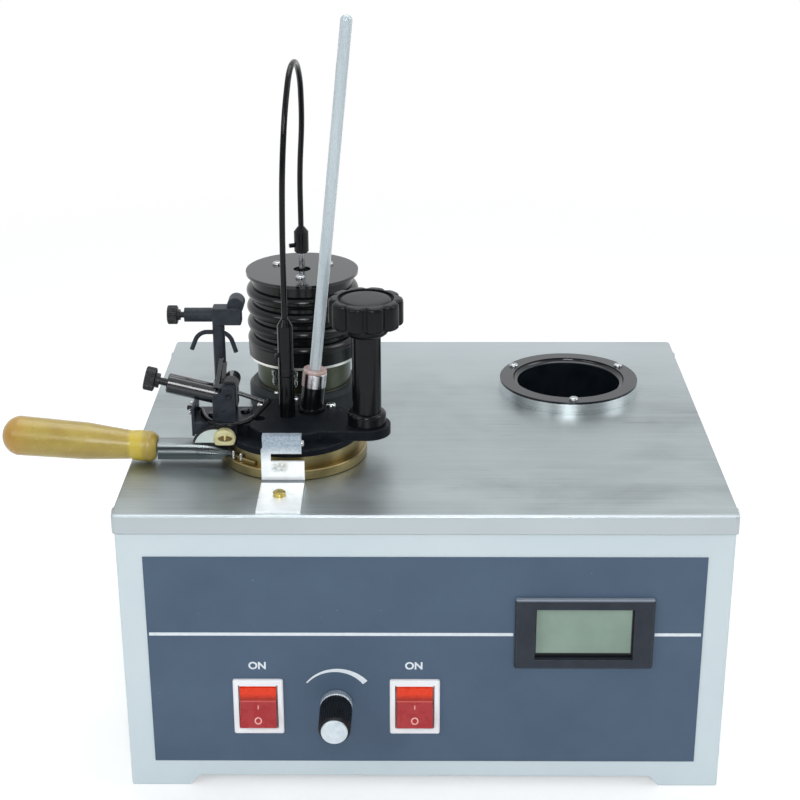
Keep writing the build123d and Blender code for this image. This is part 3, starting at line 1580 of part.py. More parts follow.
with BuildPart() as cover_plate:
    with BuildSketch(Plane.XY.offset(rim_top)):
        with Locations((stove_x, stove_y)):
            Circle(plate_radius)
        with BuildLine():
            Polyline(
                (stove_x, right_arm_front),
                (column_x, right_arm_front),
                (column_x, right_arm_back),
                (stove_x, right_arm_back),
                close=True,
            )
        make_face()
        with Locations((column_x, column_y)):
            Circle(column_end_radius)
        with BuildLine():
            Polyline(
                (stove_x, left_arm_front),
                (left_arm_end, left_arm_front),
                (left_arm_end, left_arm_back),
                (stove_x, left_arm_back),
                close=True,
            )
        make_face()
    extrude(amount=plate_height)
    chamfer(cover_plate.faces().sort_by(Axis.Z)[-1].edges(), small_chamfer)
    # the pocket under it that the shutter, its arm and the crank move in
    with BuildSketch(Plane.XY.offset(rim_top)):
        with Locations((stirrer_x, stirrer_y)):
            Circle(shutter_radius + shutter_room)
        with Locations((column_x, column_y)):
            Circle(crank_pocket_radius)
        with BuildLine():
            pocket_tip = crank_radius + crank_pin_radius + shutter_room
            start = radians(crank_start - crank_swing_margin)
            end = radians(crank_start + crank_sweep + crank_swing_margin)
            middle = (start + end) / 2
            Line(
                (column_x, column_y),
                (column_x + pocket_tip * cos(start), column_y + pocket_tip * sin(start)),
            )
            ThreePointArc(
                (column_x + pocket_tip * cos(start), column_y + pocket_tip * sin(start)),
                (column_x + pocket_tip * cos(middle), column_y + pocket_tip * sin(middle)),
                (column_x + pocket_tip * cos(end), column_y + pocket_tip * sin(end)),
            )
            Line(
                (column_x + pocket_tip * cos(end), column_y + pocket_tip * sin(end)),
                (column_x, column_y),
            )
        make_face()
        with BuildLine():
            swing_reach = hypot(arm_end, shutter_arm_width / 2) + arm_room
            swing_angles = (
                radians(arm_rest - shutter_turn - arm_swing_margin),
                radians(arm_line),
                radians(arm_rest + arm_swing_margin),
            )
            swing_points = [
                (stirrer_x + swing_reach * cos(a), stirrer_y + swing_reach * sin(a)) for a in swing_angles
            ]
            Line((stirrer_x, stirrer_y), swing_points[0])
            ThreePointArc(*swing_points)
            Line(swing_points[2], (stirrer_x, stirrer_y))
        make_face()
    extrude(amount=pocket_depth, mode=Mode.SUBTRACT)
    with BuildSketch(Plane.XY.offset(rim_top)):
        with Locations((stirrer_x, stirrer_y)):
            Circle(bush_spigot_radius + sheet_slip)
        with Locations((column_x, column_y)):
            Circle(spindle_radius + spindle_hole_slip)
        with Locations((port_x, port_y)):
            Circle(port_radius + port_flare)
    extrude(amount=plate_height, mode=Mode.SUBTRACT)
    with BuildSketch(thermo_plane.offset(weld_depth)):
        Circle(thermo_hole_radius)
    extrude(amount=-thermo_hole_depth, mode=Mode.SUBTRACT)
    with BuildSketch(Plane.XY.offset(plate_top)):
        with Locations(*cover_screw_places):
            Circle(screw_hole_radius)
    extrude(amount=-(plate_height - pocket_depth), mode=Mode.SUBTRACT)
    with BuildSketch(Plane.XY.offset(plate_top)):
        with Locations(*bracket_screw_places):
            Circle(screw_hole_radius)
    extrude(amount=-plate_height + blind_rest, mode=Mode.SUBTRACT)
cover_plate.part.label = "cover_plate"
export_step(cover_plate.part, "parts/cover_plate.step")

shutter_bottom = rim_top + shutter_gap
with BuildPart() as cover_shutter:
    with BuildSketch(Plane.XY.offset(shutter_bottom)):
        with Locations((stirrer_x, stirrer_y)):
            Circle(shutter_hub_radius)
        # the blade over the port
        with BuildLine():
            blade_from = radians(port_angle - blade_margin)
            blade_to = radians(port_angle + shutter_turn + blade_margin)
            blade_mid = (blade_from + blade_to) / 2
            blade_points = [
                (stirrer_x + shutter_radius * cos(a), stirrer_y + shutter_radius * sin(a))
                for a in (blade_from, blade_mid, blade_to)
            ]
            Line((stirrer_x, stirrer_y), blade_points[0])
            ThreePointArc(*blade_points)
            Line(blade_points[2], (stirrer_x, stirrer_y))
        make_face()
        # the arm towards the crank
        with Locations(Location((stirrer_x, stirrer_y, 0), (0, 0, arm_rest))):
            with Locations((arm_end / 2, 0)):
                Rectangle(arm_end, shutter_arm_width)
        with Locations((stirrer_x, stirrer_y)):
            Circle(bush_spigot_radius + shutter_gap, mode=Mode.SUBTRACT)
        window_angle = radians(port_angle + shutter_turn)
        with Locations(
            (
                stirrer_x + port_circle * cos(window_angle),
                stirrer_y + port_circle * sin(window_angle),
            )
        ):
            Circle(port_radius + shutter_gap, mode=Mode.SUBTRACT)
        with Locations(Location((stirrer_x, stirrer_y, 0), (0, 0, arm_rest))):
            with Locations((arm_end, 0)):
                Rectangle(
                    2 * (crank_radius - spindle_radius + slot_run_out),
                    2 * (crank_pin_radius + slot_clearance),
                    mode=Mode.SUBTRACT,
                )
    extrude(amount=shutter_thickness)
cover_shutter.part.label = "cover_shutter"
export_step(cover_shutter.part, "parts/cover_shutter.step")

cover_screws = []
for screw_x, screw_y in cover_screw_places:
    seat = Plane(origin=(screw_x, screw_y, plate_top), z_dir=(0, 0, 1))
    cover_screws.append(dome_screw(seat, plate_height - pocket_depth - spindle_hole_slip))
for screw_x, screw_y in bracket_screw_places:
    seat = Plane(origin=(screw_x, screw_y, plate_top + bracket_sheet), z_dir=(0, 0, 1))
    cover_screws.append(dome_screw(seat, bracket_sheet + plate_height / 2))
cover_screws = Compound(label="cover_screws", children=cover_screws)
export_step(cover_screws, "parts/cover_screws.step")

# ---------------------------------------------------------------- column, spindle and spring
with BuildPart() as operating_column:
    with BuildSketch(Plane.XY.offset(plate_top)):
        with Locations((column_x, column_y)):
            Circle(column_foot_radius)
    extrude(amount=column_foot_height)
    fillet(operating_column.faces().sort_by(Axis.Z)[-1].edges(), column_foot_round)
    with BuildSketch(Plane.XY.offset(plate_top)):
        with Locations((column_x, column_y)):
            Circle(column_radius)
    extrude(amount=column_height)
    with BuildSketch(Plane.XY.offset(plate_top)):
        with Locations((column_x, column_y)):
            Circle(spindle_radius + shaft_slip)
    extrude(amount=column_height, mode=Mode.SUBTRACT)
    with BuildSketch(Plane.XY.offset(plate_top + spring_bottom)):
        with Locations((column_x, column_y)):
            Circle(spring_chamber_radius)
    extrude(amount=spring_height, mode=Mode.SUBTRACT)
operating_column.part.label = "operating_column"
export_step(operating_column.part, "parts/operating_column.step")

with BuildPart() as return_spring:
    with BuildSketch(Plane.XY.offset(plate_top + spring_bottom)):
        with Locations((column_x, column_y)):
            Circle(spring_chamber_radius - spring_outer_gap)
            Circle(spindle_radius + spring_inner_gap, mode=Mode.SUBTRACT)
    extrude(amount=spring_height - spring_play)
return_spring.part.label = "return_spring"
export_step(return_spring.part, "parts/return_spring.step")

crank_bottom = shutter_bottom + shutter_thickness + shutter_gap
hub_bottom = plate_top + column_height + hub_gap
lobes_bottom = hub_bottom + hub_height
spindle_top = lobes_bottom + lobe_knob_height / 2
crank_location = Location((column_x, column_y, 0), (0, 0, crank_start))
with BuildPart() as operating_spindle:
    with BuildSketch(Plane.XY.offset(crank_bottom)):
        with Locations((column_x, column_y)):
            Circle(spindle_radius)
    extrude(amount=spindle_top - crank_bottom)
    with BuildSketch(Plane.XY.offset(crank_bottom)):
        with Locations((column_x, column_y)):
            Circle(crank_root_radius)
        with Locations(crank_location):
            with Locations((crank_radius / 2, 0)):
                Rectangle(crank_radius, 2 * crank_end_radius)
            with Locations((crank_radius, 0)):
                Circle(crank_end_radius)
    extrude(amount=crank_thickness)
    with BuildSketch(Plane.XY.offset(crank_bottom)):
        with Locations(crank_location):
            with Locations((crank_radius, 0)):
                Circle(crank_pin_radius)
    extrude(amount=-(shutter_thickness + shutter_gap))
operating_spindle.part.label = "operating_spindle"
export_step(operating_spindle.part, "parts/operating_spindle.step")

with BuildPart() as operating_knob:
    with BuildSketch(Plane.XY.offset(lobes_bottom)):
        with Locations((column_x, column_y)):
            Circle(lobe_knob_radius)
            with PolarLocations(scallop_circle, lobe_count, start_angle=180 / lobe_count):
                Circle(scallop_radius, mode=Mode.SUBTRACT)
        fillet(vertices(), scallop_round)
    extrude(amount=lobe_knob_height)
    chamfer(operating_knob.faces().sort_by(Axis.Z)[-1].edges(), lobe_top_chamfer)
    chamfer(operating_knob.faces().sort_by(Axis.Z)[0].edges(), lobe_bottom_chamfer)
    with BuildSketch(Plane.XY.offset(lobes_bottom + lobe_knob_height)):
        with Locations((column_x, column_y)):
            Circle(lobe_groove_outer)
            Circle(lobe_groove_inner, mode=Mode.SUBTRACT)
    extrude(amount=-lobe_groove_depth, mode=Mode.SUBTRACT)
    with BuildSketch(Plane.XY.offset(hub_bottom)):
        with Locations((column_x, column_y)):
            Circle(hub_radius)
    extrude(amount=hub_height)
    with BuildSketch(Plane.XY.offset(hub_bottom)):
        with Locations((column_x, column_y)):
            Circle(spindle_radius + shaft_slip)
    extrude(amount=spindle_top - hub_bottom + spindle_end_gap, mode=Mode.SUBTRACT)
operating_knob.part.label = "operating_knob"
export_step(operating_knob.part, "parts/operating_knob.step")

# ---------------------------------------------------------------- stirrer
bush_top = plate_top + bush_height
collar_bottom = bush_top + end_play
coupling_bottom = collar_bottom + collar_height
coupling_top = coupling_bottom + coupling_height
coupling_end = coupling_top + coupling_cone
with BuildPart() as stirrer_bush:
    with BuildSketch(Plane.XY.offset(plate_top)):
        with Locations((stirrer_x, stirrer_y)):
            Circle(bush_radius)
    extrude(amount=bush_height)
    chamfer(stirrer_bush.faces().sort_by(Axis.Z)[-1].edges(), small_chamfer)
    with BuildSketch(Plane.XY.offset(rim_top)):
        with Locations((stirrer_x, stirrer_y)):
            Circle(bush_spigot_radius)
    extrude(amount=plate_height)
    with BuildSketch(Plane.XY.offset(rim_top)):
        with Locations((stirrer_x, stirrer_y)):
            Circle(stirrer_radius + shaft_slip)
    extrude(amount=plate_height + bush_height, mode=Mode.SUBTRACT)
stirrer_bush.part.label = "stirrer_bush"
export_step(stirrer_bush.part, "parts/stirrer_bush.step")

stirrer_top = coupling_bottom + coupling_bore_depth - blind_rest
with BuildPart() as stirrer_shaft:
    with BuildSketch(Plane.XY.offset(paddle_bottom)):
        with Locations((stirrer_x, stirrer_y)):
            Circle(stirrer_radius)
    extrude(amount=stirrer_top - paddle_bottom)
    for blade_bottom, blade_height, blade_radius in (
        (paddle_bottom, paddle_height, paddle_radius),
        (upper_paddle_bottom, upper_paddle_height, upper_paddle_radius),
    ):
        with BuildSketch(Plane.XY.offset(blade_bottom)):
            with Locations((stirrer_x, stirrer_y)):
                Circle(paddle_hub_radius)
        extrude(amount=blade_height)
        for side in (-1, 1):
            middle = stirrer_x + side * blade_radius / 2
            with Locations(
                Location((middle, stirrer_y, blade_bottom + blade_height / 2), (side * paddle_pitch, 0, 0))
            ):
                Box(blade_radius - paddle_trim, paddle_thickness, blade_height - paddle_trim)
stirrer_shaft.part.label = "stirrer_shaft"
export_step(stirrer_shaft.part, "parts/stirrer_shaft.step")


def level_rod(centre_x, centre_y, height, angle, radius, inner, outer):
    """A level rod that points at an upright axis, between two distances from it."""
    turn = radians(angle)
    outwards = (cos(turn), sin(turn), 0)
    seat = Plane(
        origin=(centre_x + inner * cos(turn), centre_y + inner * sin(turn), height),
        x_dir=(0, 0, 1),
        z_dir=outwards,
    )
    with BuildPart() as rod:
        with BuildSketch(seat):
            Circle(radius)
        extrude(amount=outer - inner)
        chamfer(rod.faces().sort_by(Axis(seat.origin, outwards))[-1].edges(), set_screw_chamfer)
    return rod.part


screw_bore = set_screw_radius + shaft_slip
screw_reach = coupling_radius + set_screw_length / 2
collar_screw = (stirrer_x, stirrer_y, collar_bottom + collar_height / 2, collar_screw_turn)
coupling_screw = (
    stirrer_x,
    stirrer_y,
    coupling_bottom + coupling_screw_height,
    coupling_screw_turn,
)
motor_coupling_screw = (
    motor_x,
    motor_y,
    motor_coupling_bottom + motor_screw_height,
    motor_coupling_screw_turn,
)

stirrer_bore = stirrer_radius + shaft_slip
motor_bore = motor_shaft_radius + shaft_slip
collar_drill = level_rod(*collar_screw, screw_bore, set_screw_start, 2 * collar_radius)
coupling_drill = level_rod(*coupling_screw, screw_bore, set_screw_start, 2 * coupling_radius)
motor_coupling_drill = level_rod(
    *motor_coupling_screw, screw_bore, set_screw_start, 2 * coupling_radius
)

with BuildPart() as stirrer_collar:
    with BuildSketch(Plane.XY.offset(collar_bottom)):
        with Locations((stirrer_x, stirrer_y)):
            Circle(collar_radius)
            Circle(stirrer_radius + shaft_slip, mode=Mode.SUBTRACT)
    extrude(amount=collar_height)
    add(collar_drill, mode=Mode.SUBTRACT)
with BuildPart() as stirrer_sleeve:
    with BuildSketch(Plane.XY.offset(coupling_bottom)):
        with Locations((stirrer_x, stirrer_y)):
            Circle(coupling_radius)
    extrude(amount=coupling_height)
    with BuildSketch(Plane.XY.offset(coupling_top)):
        with Locations((stirrer_x, stirrer_y)):
            Circle(coupling_radius)
    with BuildSketch(Plane.XY.offset(coupling_end)):
        with Locations((stirrer_x, stirrer_y)):
            Circle(coupling_tip)
    loft(ruled=True)
    with BuildSketch(Plane.XY.offset(coupling_bottom)):
        with Locations((stirrer_x, stirrer_y)):
            Circle(stirrer_radius + shaft_slip)
    extrude(amount=coupling_bore_depth, mode=Mode.SUBTRACT)
    add(coupling_drill, mode=Mode.SUBTRACT)
stirrer_coupling = Compound(
    label="stirrer_coupling",
    children=[
        stirrer_collar.part,
        stirrer_sleeve.part,
        level_rod(*collar_screw, set_screw_radius, stirrer_bore, screw_reach),
        level_rod(*coupling_screw, set_screw_radius, stirrer_bore, screw_reach),
    ],
)
export_step(stirrer_coupling, "parts/stirrer_coupling.step")

motor_coupling_top = motor_coupling_bottom + motor_coupling_height
motor_coupling_end = motor_coupling_top + motor_coupling_cone
with BuildPart() as motor_sleeve:
    with BuildSketch(Plane.XY.offset(motor_coupling_bottom)):
        with Locations((motor_x, motor_y)):
            Circle(coupling_radius)
    extrude(amount=motor_coupling_height)
    chamfer(motor_sleeve.faces().sort_by(Axis.Z)[0].edges(), motor_coupling_chamfer)
    with BuildSketch(Plane.XY.offset(motor_coupling_top)):
        with Locations((motor_x, motor_y)):
            Circle(coupling_radius)
    with BuildSketch(Plane.XY.offset(motor_coupling_end)):
        with Locations((motor_x, motor_y)):
            Circle(coupling_tip)
    loft(ruled=True)
    with BuildSketch(Plane.XY.offset(motor_coupling_bottom)):
        with Locations((motor_x, motor_y)):
            Circle(motor_shaft_radius + shaft_slip)
    extrude(amount=motor_coupling_bore, mode=Mode.SUBTRACT)
    add(motor_coupling_drill, mode=Mode.SUBTRACT)
motor_coupling = Compound(
    label="motor_coupling",
    children=[
        motor_sleeve.part,
        level_rod(*motor_coupling_screw, set_screw_radius, motor_bore, motor_set_screw_reach),
    ],
)
export_step(motor_coupling, "parts/motor_coupling.step")


# ---------------------------------------------------------------- flexible shaft and tubes
def bend_radii(points):
    """The tangent arc at each inner point, which leaves a tenth of its shorter run straight."""
    corners = [Vector(*point) for point in points]
    radii = []
    for before, corner, after in zip(corners, corners[1:], corners[2:]):
        arriving = corner - before
        leaving = after - corner
        turn = radians(arriving.get_angle(leaving))
        shorter = min(arriving.length, leaving.length)
        radii.append(bend_share * shorter / tan(turn / 2))
    return radii


def tube_along(points, radius):
    """A round tube along straight runs that are joined by tangent arcs."""
    radii = bend_radii(points)
    with BuildPart() as tube:
        with BuildLine() as route:
            FilletPolyline(*points, radius=radii)
        with BuildSketch(Plane(origin=points[0], z_dir=Vector(*points[1]) - Vector(*points[0]))):
            Circle(radius)
        sweep(path=route.line)
    length = sum(edge.length for edge in route.edges())
    print("bend radii:", [round(bend, 1) for bend in radii], "length:", round(length, 1))
    print("volume over section times length:", tube.part.volume / (pi * radius**2 * length))
    return tube.part


cable_start = (stirrer_x, stirrer_y, coupling_end + end_play)
cable_finish = (motor_x, motor_y, motor_coupling_end + end_play)
flexible_shaft = tube_along([cable_start] + cable_points + [cable_finish], cable_radius)
flexible_shaft.label = "flexible_shaft"
export_step(flexible_shaft, "parts/flexible_shaft.step")

gas_tube = tube_along(gas_tube_points, gas_tube_radius)
gas_tube.label = "gas_tube"
export_step(gas_tube, "parts/gas_tube.step")

# ---------------------------------------------------------------- thermometer
with BuildPart() as thermometer_socket:
    with BuildSketch(thermo_plane.offset(-socket_root)):
        Circle(socket_radius)
    extrude(amount=socket_length + socket_root)
    with BuildSketch(Plane.XY.offset(plate_top)):
        with Locations((thermo_foot_x, thermo_y)):
            Circle(socket_foot_radius)
    extrude(amount=socket_foot_height)
    with BuildSketch(Plane.XY.offset(plate_top)):
        with Locations((thermo_foot_x, thermo_y)):
            Circle(2 * socket_foot_radius)
    extrude(amount=-2 * socket_root, mode=Mode.SUBTRACT)
    with BuildSketch(thermo_plane.offset(socket_length)):
        Circle(thermo_radius + thermo_slip)
    extrude(amount=-2 * socket_length, mode=Mode.SUBTRACT)
thermometer_socket.part.label = "thermometer_socket"
export_step(thermometer_socket.part, "parts/thermometer_socket.step")

with BuildPart() as thermometer_ferrule:
    with BuildSketch(thermo_plane.offset(socket_length)):
        Circle(ferrule_radius)
        Circle(thermo_radius + shaft_slip, mode=Mode.SUBTRACT)
    extrude(amount=ferrule_length)
    chamfer(
        thermometer_ferrule.faces().sort_by(Axis(thermo_plane.origin, thermo_dir))[-1].edges()
        .sort_by(SortBy.RADIUS)[-1],
        ferrule_chamfer,
    )
thermometer_ferrule.part.label = "thermometer_ferrule"
export_step(thermometer_ferrule.part, "parts/thermometer_ferrule.step")

with BuildPart() as thermometer:
    with BuildSketch(thermo_plane.offset(thermo_bottom + bulb_length)):
        Circle(thermo_radius)
    extrude(amount=thermo_top - thermo_bottom - bulb_length)
    fillet(
        thermometer.faces().sort_by(Axis(thermo_plane.origin, thermo_dir))[-1].edges(),
        thermo_round,
    )
    with BuildSketch(thermo_plane.offset(thermo_bottom)):
        Circle(bulb_radius)
    extrude(amount=bulb_length)
    fillet(
        thermometer.faces().sort_by(Axis(thermo_plane.origin, thermo_dir))[0].edges(),
        bulb_round,
    )
thermometer.part.label = "thermometer"
export_step(thermometer.part, "parts/thermometer.step")

# ================================================================ burner
front_cheek_y = burner_y - burner_gap / 2
back_cheek_y = burner_y + burner_gap / 2
floor_top = plate_top + bracket_sheet
with BuildPart() as burner_bracket:
    floor_left = bracket_left + bracket_sheet
    with BuildSketch(Plane.XY.offset(plate_top)):
        with Locations(
            ((floor_left + bracket_right) / 2, (bracket_front + bracket_back) / 2)
        ):
            Rectangle(bracket_right - floor_left, bracket_back - bracket_front)
        with Locations(*bracket_screw_places):
            Circle(screw_hole_radius, mode=Mode.SUBTRACT)
    extrude(amount=bracket_sheet)
    # the wall at its left end, with the hole that the pilot tube comes in by
    with BuildSketch(Plane.YZ.offset(bracket_left)):
        with Locations(
            (
                (bracket_front + bracket_back) / 2,
                (bracket_wall_bottom + bracket_wall_top) / 2,
            )
        ):
            Rectangle(bracket_back - bracket_front, bracket_wall_top - bracket_wall_bottom)
        with Locations((gas_tube_points[0][1] + tube_hole_shift, gas_tube_points[0][2])):
            Circle(gas_tube_radius + tube_hole_slip, mode=Mode.SUBTRACT)
    extrude(amount=bracket_sheet)
    # the skirt along its front
    with BuildSketch(Plane.XZ.offset(-bracket_front)):
        with Locations(
            (
                (bracket_left + bracket_skirt_right) / 2,
                (bracket_skirt_bottom + floor_top) / 2,
            )
        ):
            Rectangle(bracket_skirt_right - bracket_left, floor_top - bracket_skirt_bottom)
    extrude(amount=-bracket_sheet)
    # the two cheeks that carry the pivot pin
    for cheek_y, cheek_z in ((front_cheek_y, cheek_top), (back_cheek_y + cheek_thickness, cheek_back_top)):
        with BuildSketch(Plane.XZ.offset(-cheek_y)):
            with Locations(((cheek_left + cheek_right) / 2, (floor_top + cheek_z) / 2)):
                Rectangle(cheek_right - cheek_left, cheek_z - floor_top)
            with Locations((pivot_x, pivot_z)):
                Circle(pivot_radius + shaft_slip, mode=Mode.SUBTRACT)
        extrude(amount=cheek_thickness)
with BuildPart() as burner_pivot_pin:
    with BuildSketch(Plane.XZ.offset(-(front_cheek_y - cheek_thickness))):
        with Locations((pivot_x, pivot_z)):
            Circle(pivot_radius)
    extrude(amount=-(burner_gap + 2 * cheek_thickness))
burner_stand = Compound(
    label="burner_bracket",
    children=[burner_bracket.part, burner_pivot_pin.part],
)
export_step(burner_stand, "parts/burner_bracket.step")

barrel_dir = (-cos(radians(burner_slope)), 0, sin(radians(burner_slope)))
barrel_plane = Plane(
    origin=(pivot_x, burner_y, pivot_z - barrel_drop),
    x_dir=(0, 1, 0),
    z_dir=barrel_dir,
)
nozzle_dir = (cos(radians(nozzle_slope)), 0, -sin(radians(nozzle_slope)))
nozzle_plane = Plane(
    origin=(pivot_x + nozzle_start_dx, burner_y, pivot_z + nozzle_start_dz),
    x_dir=(0, 1, 0),
    z_dir=nozzle_dir,
)
block_width = burner_gap - 2 * burner_side_gap
block_plane = Plane.XZ.offset(-burner_y - block_width / 2)
with BuildPart() as burner_body:
    with BuildSketch(block_plane):
        with Locations(((block_left + block_right) / 2, (block_bottom + block_top) / 2)):
            Rectangle(block_right - block_left, block_top - block_bottom)
        with Locations(((cap_left + block_right) / 2, block_top + cap_height / 2)):
            Rectangle(block_right - cap_left, cap_height)
        with Locations((pivot_x + fitting_dx, pivot_z + fitting_dz)):
            Circle(fitting_radius)
    extrude(amount=block_width)
    with BuildSketch(barrel_plane):
        Circle(barrel_neck_radius)
    extrude(amount=barrel_start + weld_depth)
    with BuildSketch(barrel_plane.offset(barrel_start)):
        Circle(barrel_radius)
    extrude(amount=barrel_end - barrel_start)
    chamfer(
        burner_body.faces().sort_by(Axis(barrel_plane.origin, barrel_dir))[-1].edges(),
        barrel_chamfer,
    )
    with BuildSketch(barrel_plane.offset(barrel_end)):
        Circle(thumb_spindle_radius + pin_slip)
    extrude(amount=-barrel_bore_depth, mode=Mode.SUBTRACT)
    with BuildSketch(nozzle_plane.offset(-nozzle_root)):
        Circle(nozzle_radius)
    extrude(amount=nozzle_length + nozzle_root)
    with BuildSketch(nozzle_plane.offset(nozzle_length)):
        Circle(nozzle_bore)
    extrude(amount=-nozzle_bore_depth, mode=Mode.SUBTRACT)
    with BuildSketch(Plane.XZ.offset(-burner_y)):
        with Locations((pivot_x, pivot_z)):
            Circle(pivot_radius + pin_slip)
    extrude(amount=block_width, both=True, mode=Mode.SUBTRACT)
    # two thin levers stand up from the block
    for lever_foot_x, lever_tip, lever_y in (
        (front_lever_foot_x, front_lever_tip, burner_y - block_width / 2),
        (back_lever_foot_x, back_lever_tip, burner_y + back_lever_shift),
    ):
        with BuildSketch(Plane.XZ.offset(-lever_y)):
            with BuildLine():
                Polyline(
                    (lever_foot_x - lever_width / 2, block_top),
                    (lever_tip[0] - lever_width / 2, lever_tip[1]),
                    (lever_tip[0] + lever_width / 2, lever_tip[1]),
                    (lever_foot_x + lever_width / 2, block_top),
                    close=True,
                )
            make_face()
        extrude(amount=-lever_thickness)
burner_body.part.label = "burner_body"
export_step(burner_body.part, "parts/burner_body.step")

thumb_inner = barrel_end + thumb_gap - thumb_spindle_length
with BuildPart() as burner_thumb_screw:
    with BuildSketch(barrel_plane.offset(thumb_inner)):
        Circle(thumb_spindle_radius)
    extrude(amount=thumb_spindle_length)
    with BuildSketch(barrel_plane.offset(barrel_end + thumb_gap)):
        Circle(thumb_head_radius)
    extrude(amount=thumb_head_thickness)
    chamfer(
        burner_thumb_screw.faces().sort_by(Axis(barrel_plane.origin, barrel_dir))[-1].edges(),
        thumb_head_chamfer,
    )
burner_thumb_screw.part.label = "burner_thumb_screw"
export_step(burner_thumb_screw.part, "parts/burner_thumb_screw.step")

# ---------------------------------------------------------------- pilot valve on its post
with BuildPart() as post_rod:
    with BuildSketch(Plane.XY.offset(floor_top)):
        with Locations((post_x, post_y)):
            Circle(post_radius)
    extrude(amount=post_top - floor_top)
    with BuildSketch(Plane.YZ.offset(post_x)):
        with Locations((post_y, cross_tube_z)):
            Circle(cross_tube_radius + shaft_slip)
    extrude(amount=2 * post_radius, both=True, mode=Mode.SUBTRACT)
cross_points = [
    (cross_left[0], post_y, cross_left[1]),
    (post_x - cross_half, post_y, cross_tube_z),
    (post_x + cross_half / 2, post_y, cross_tube_z),
    (cross_right[0], post_y, cross_right[1]),
]
cross_tube = tube_along(cross_points, cross_tube_radius)
pilot_post = Compound(label="pilot_post", children=[post_rod.part, cross_tube])
export_step(pilot_post, "parts/pilot_post.step")

pilot_axis_z = post_top + pilot_block_height / 2
pilot_end_x = pilot_block_left - pilot_barrel_length
pilot_fitting_x = pilot_block_right - pilot_fitting_dx
pilot_fitting_z = post_top + pilot_block_height + pilot_fitting_dz
with BuildPart() as pilot_valve_body:
    with BuildSketch(Plane.XY.offset(post_top)):
        with Locations(((pilot_block_left + pilot_block_right) / 2, post_y)):
            Rectangle(pilot_block_right - pilot_block_left, pilot_block_depth)
    extrude(amount=pilot_block_height)
    chamfer(pilot_valve_body.edges(), pilot_block_chamfer)
    with BuildSketch(Plane.YZ.offset(pilot_end_x)):
        with Locations((post_y, pilot_axis_z)):
            Circle(pilot_barrel_radius)
    extrude(amount=pilot_barrel_length + weld_depth)
    with BuildSketch(Plane.XZ.offset(-(post_y - pilot_block_depth / 2 + pilot_fitting_inset))):
        with Locations((pilot_fitting_x, pilot_fitting_z)):
            Circle(pilot_fitting_radius)
    extrude(amount=-(pilot_block_depth + weld_depth))
    with BuildSketch(Plane.YZ.offset(pilot_end_x)):
        with Locations((post_y, pilot_axis_z)):
            Circle(pilot_spindle_radius + pin_slip)
    extrude(amount=pilot_bore_depth + blind_rest, mode=Mode.SUBTRACT)
pilot_valve_body.part.label = "pilot_valve_body"
export_step(pilot_valve_body.part, "parts/pilot_valve_body.step")

with BuildPart() as pilot_thumb_screw:
    with BuildSketch(Plane.YZ.offset(pilot_end_x - pilot_gap)):
        with Locations((post_y, pilot_axis_z)):
            Circle(pilot_spindle_radius)
    extrude(amount=pilot_spindle_length)
    with BuildSketch(Plane.YZ.offset(pilot_end_x - pilot_gap)):
        with Locations((post_y, pilot_axis_z)):
            Circle(pilot_head_radius)
    extrude(amount=-pilot_head_thickness)
    chamfer(pilot_thumb_screw.faces().sort_by(Axis.X)[0].edges(), pilot_head_chamfer)
pilot_thumb_screw.part.label = "pilot_thumb_screw"
export_step(pilot_thumb_screw.part, "parts/pilot_thumb_screw.step")

# ---------------------------------------------------------------- flame gauge disc
gauge_back = gauge_front + gauge_thickness
with BuildPart() as gauge_plate:
    with BuildSketch(Plane.XZ.offset(-gauge_front)):
        with Locations((gauge_x, gauge_z)):
            Circle(gauge_radius)
        with Locations((gauge_x, gauge_flat_z - gauge_radius)):
            Rectangle(4 * gauge_radius, 2 * gauge_radius, mode=Mode.SUBTRACT)
    extrude(amount=-gauge_thickness)
with BuildPart() as gauge_backing:
    with BuildSketch(Plane.XZ.offset(-gauge_back)):
        with Locations((gauge_x, gauge_z)):
            Circle(gauge_radius + gauge_rim)
        with Locations((gauge_x, gauge_flat_z - gauge_radius)):
            Rectangle(4 * gauge_radius, 2 * gauge_radius, mode=Mode.SUBTRACT)
    extrude(amount=-gauge_backing_thickness)
    with BuildSketch(Plane.XZ.offset(-gauge_back - gauge_backing_thickness)):
        with Locations((boss_x, boss_z + gauge_stem_rise)):
            Circle(gauge_stem_radius)
    extrude(amount=-(bracket_front - gauge_back - gauge_backing_thickness))
gauge_disc = Compound(label="gauge_disc", children=[gauge_plate.part, gauge_backing.part])
export_step(gauge_disc, "parts/gauge_disc.step")

with BuildPart() as gauge_knob:
    with BuildSketch(Plane.XZ.offset(-gauge_front)):
        with Locations((boss_x, boss_z)):
            Circle(boss_radius)
        with Locations((boss_x, gauge_flat_z - boss_radius)):
            Rectangle(4 * boss_radius, 2 * boss_radius, mode=Mode.SUBTRACT)
    extrude(amount=boss_thickness)
with BuildPart() as gauge_screw:
    with BuildSketch(Plane.XZ.offset(-gauge_front + boss_thickness)):
        with Locations((boss_x, boss_z + gauge_screw_rise)):
            Circle(gauge_screw_radius)
    extrude(amount=gauge_screw_height)
    with BuildSketch(Plane.XZ.offset(-gauge_front + boss_thickness + gauge_screw_height)):
        with Locations((boss_x, boss_z + gauge_screw_rise)):
            Rectangle(gauge_slot, 2 * gauge_screw_radius)
    extrude(amount=-gauge_slot, mode=Mode.SUBTRACT)
gauge_boss = Compound(label="gauge_boss", children=[gauge_knob.part, gauge_screw.part])
export_step(gauge_boss, "parts/gauge_boss.step")
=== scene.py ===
import bpy
import bmesh
from math import cos, exp, pi, radians, sin
from mathutils import Matrix, Vector


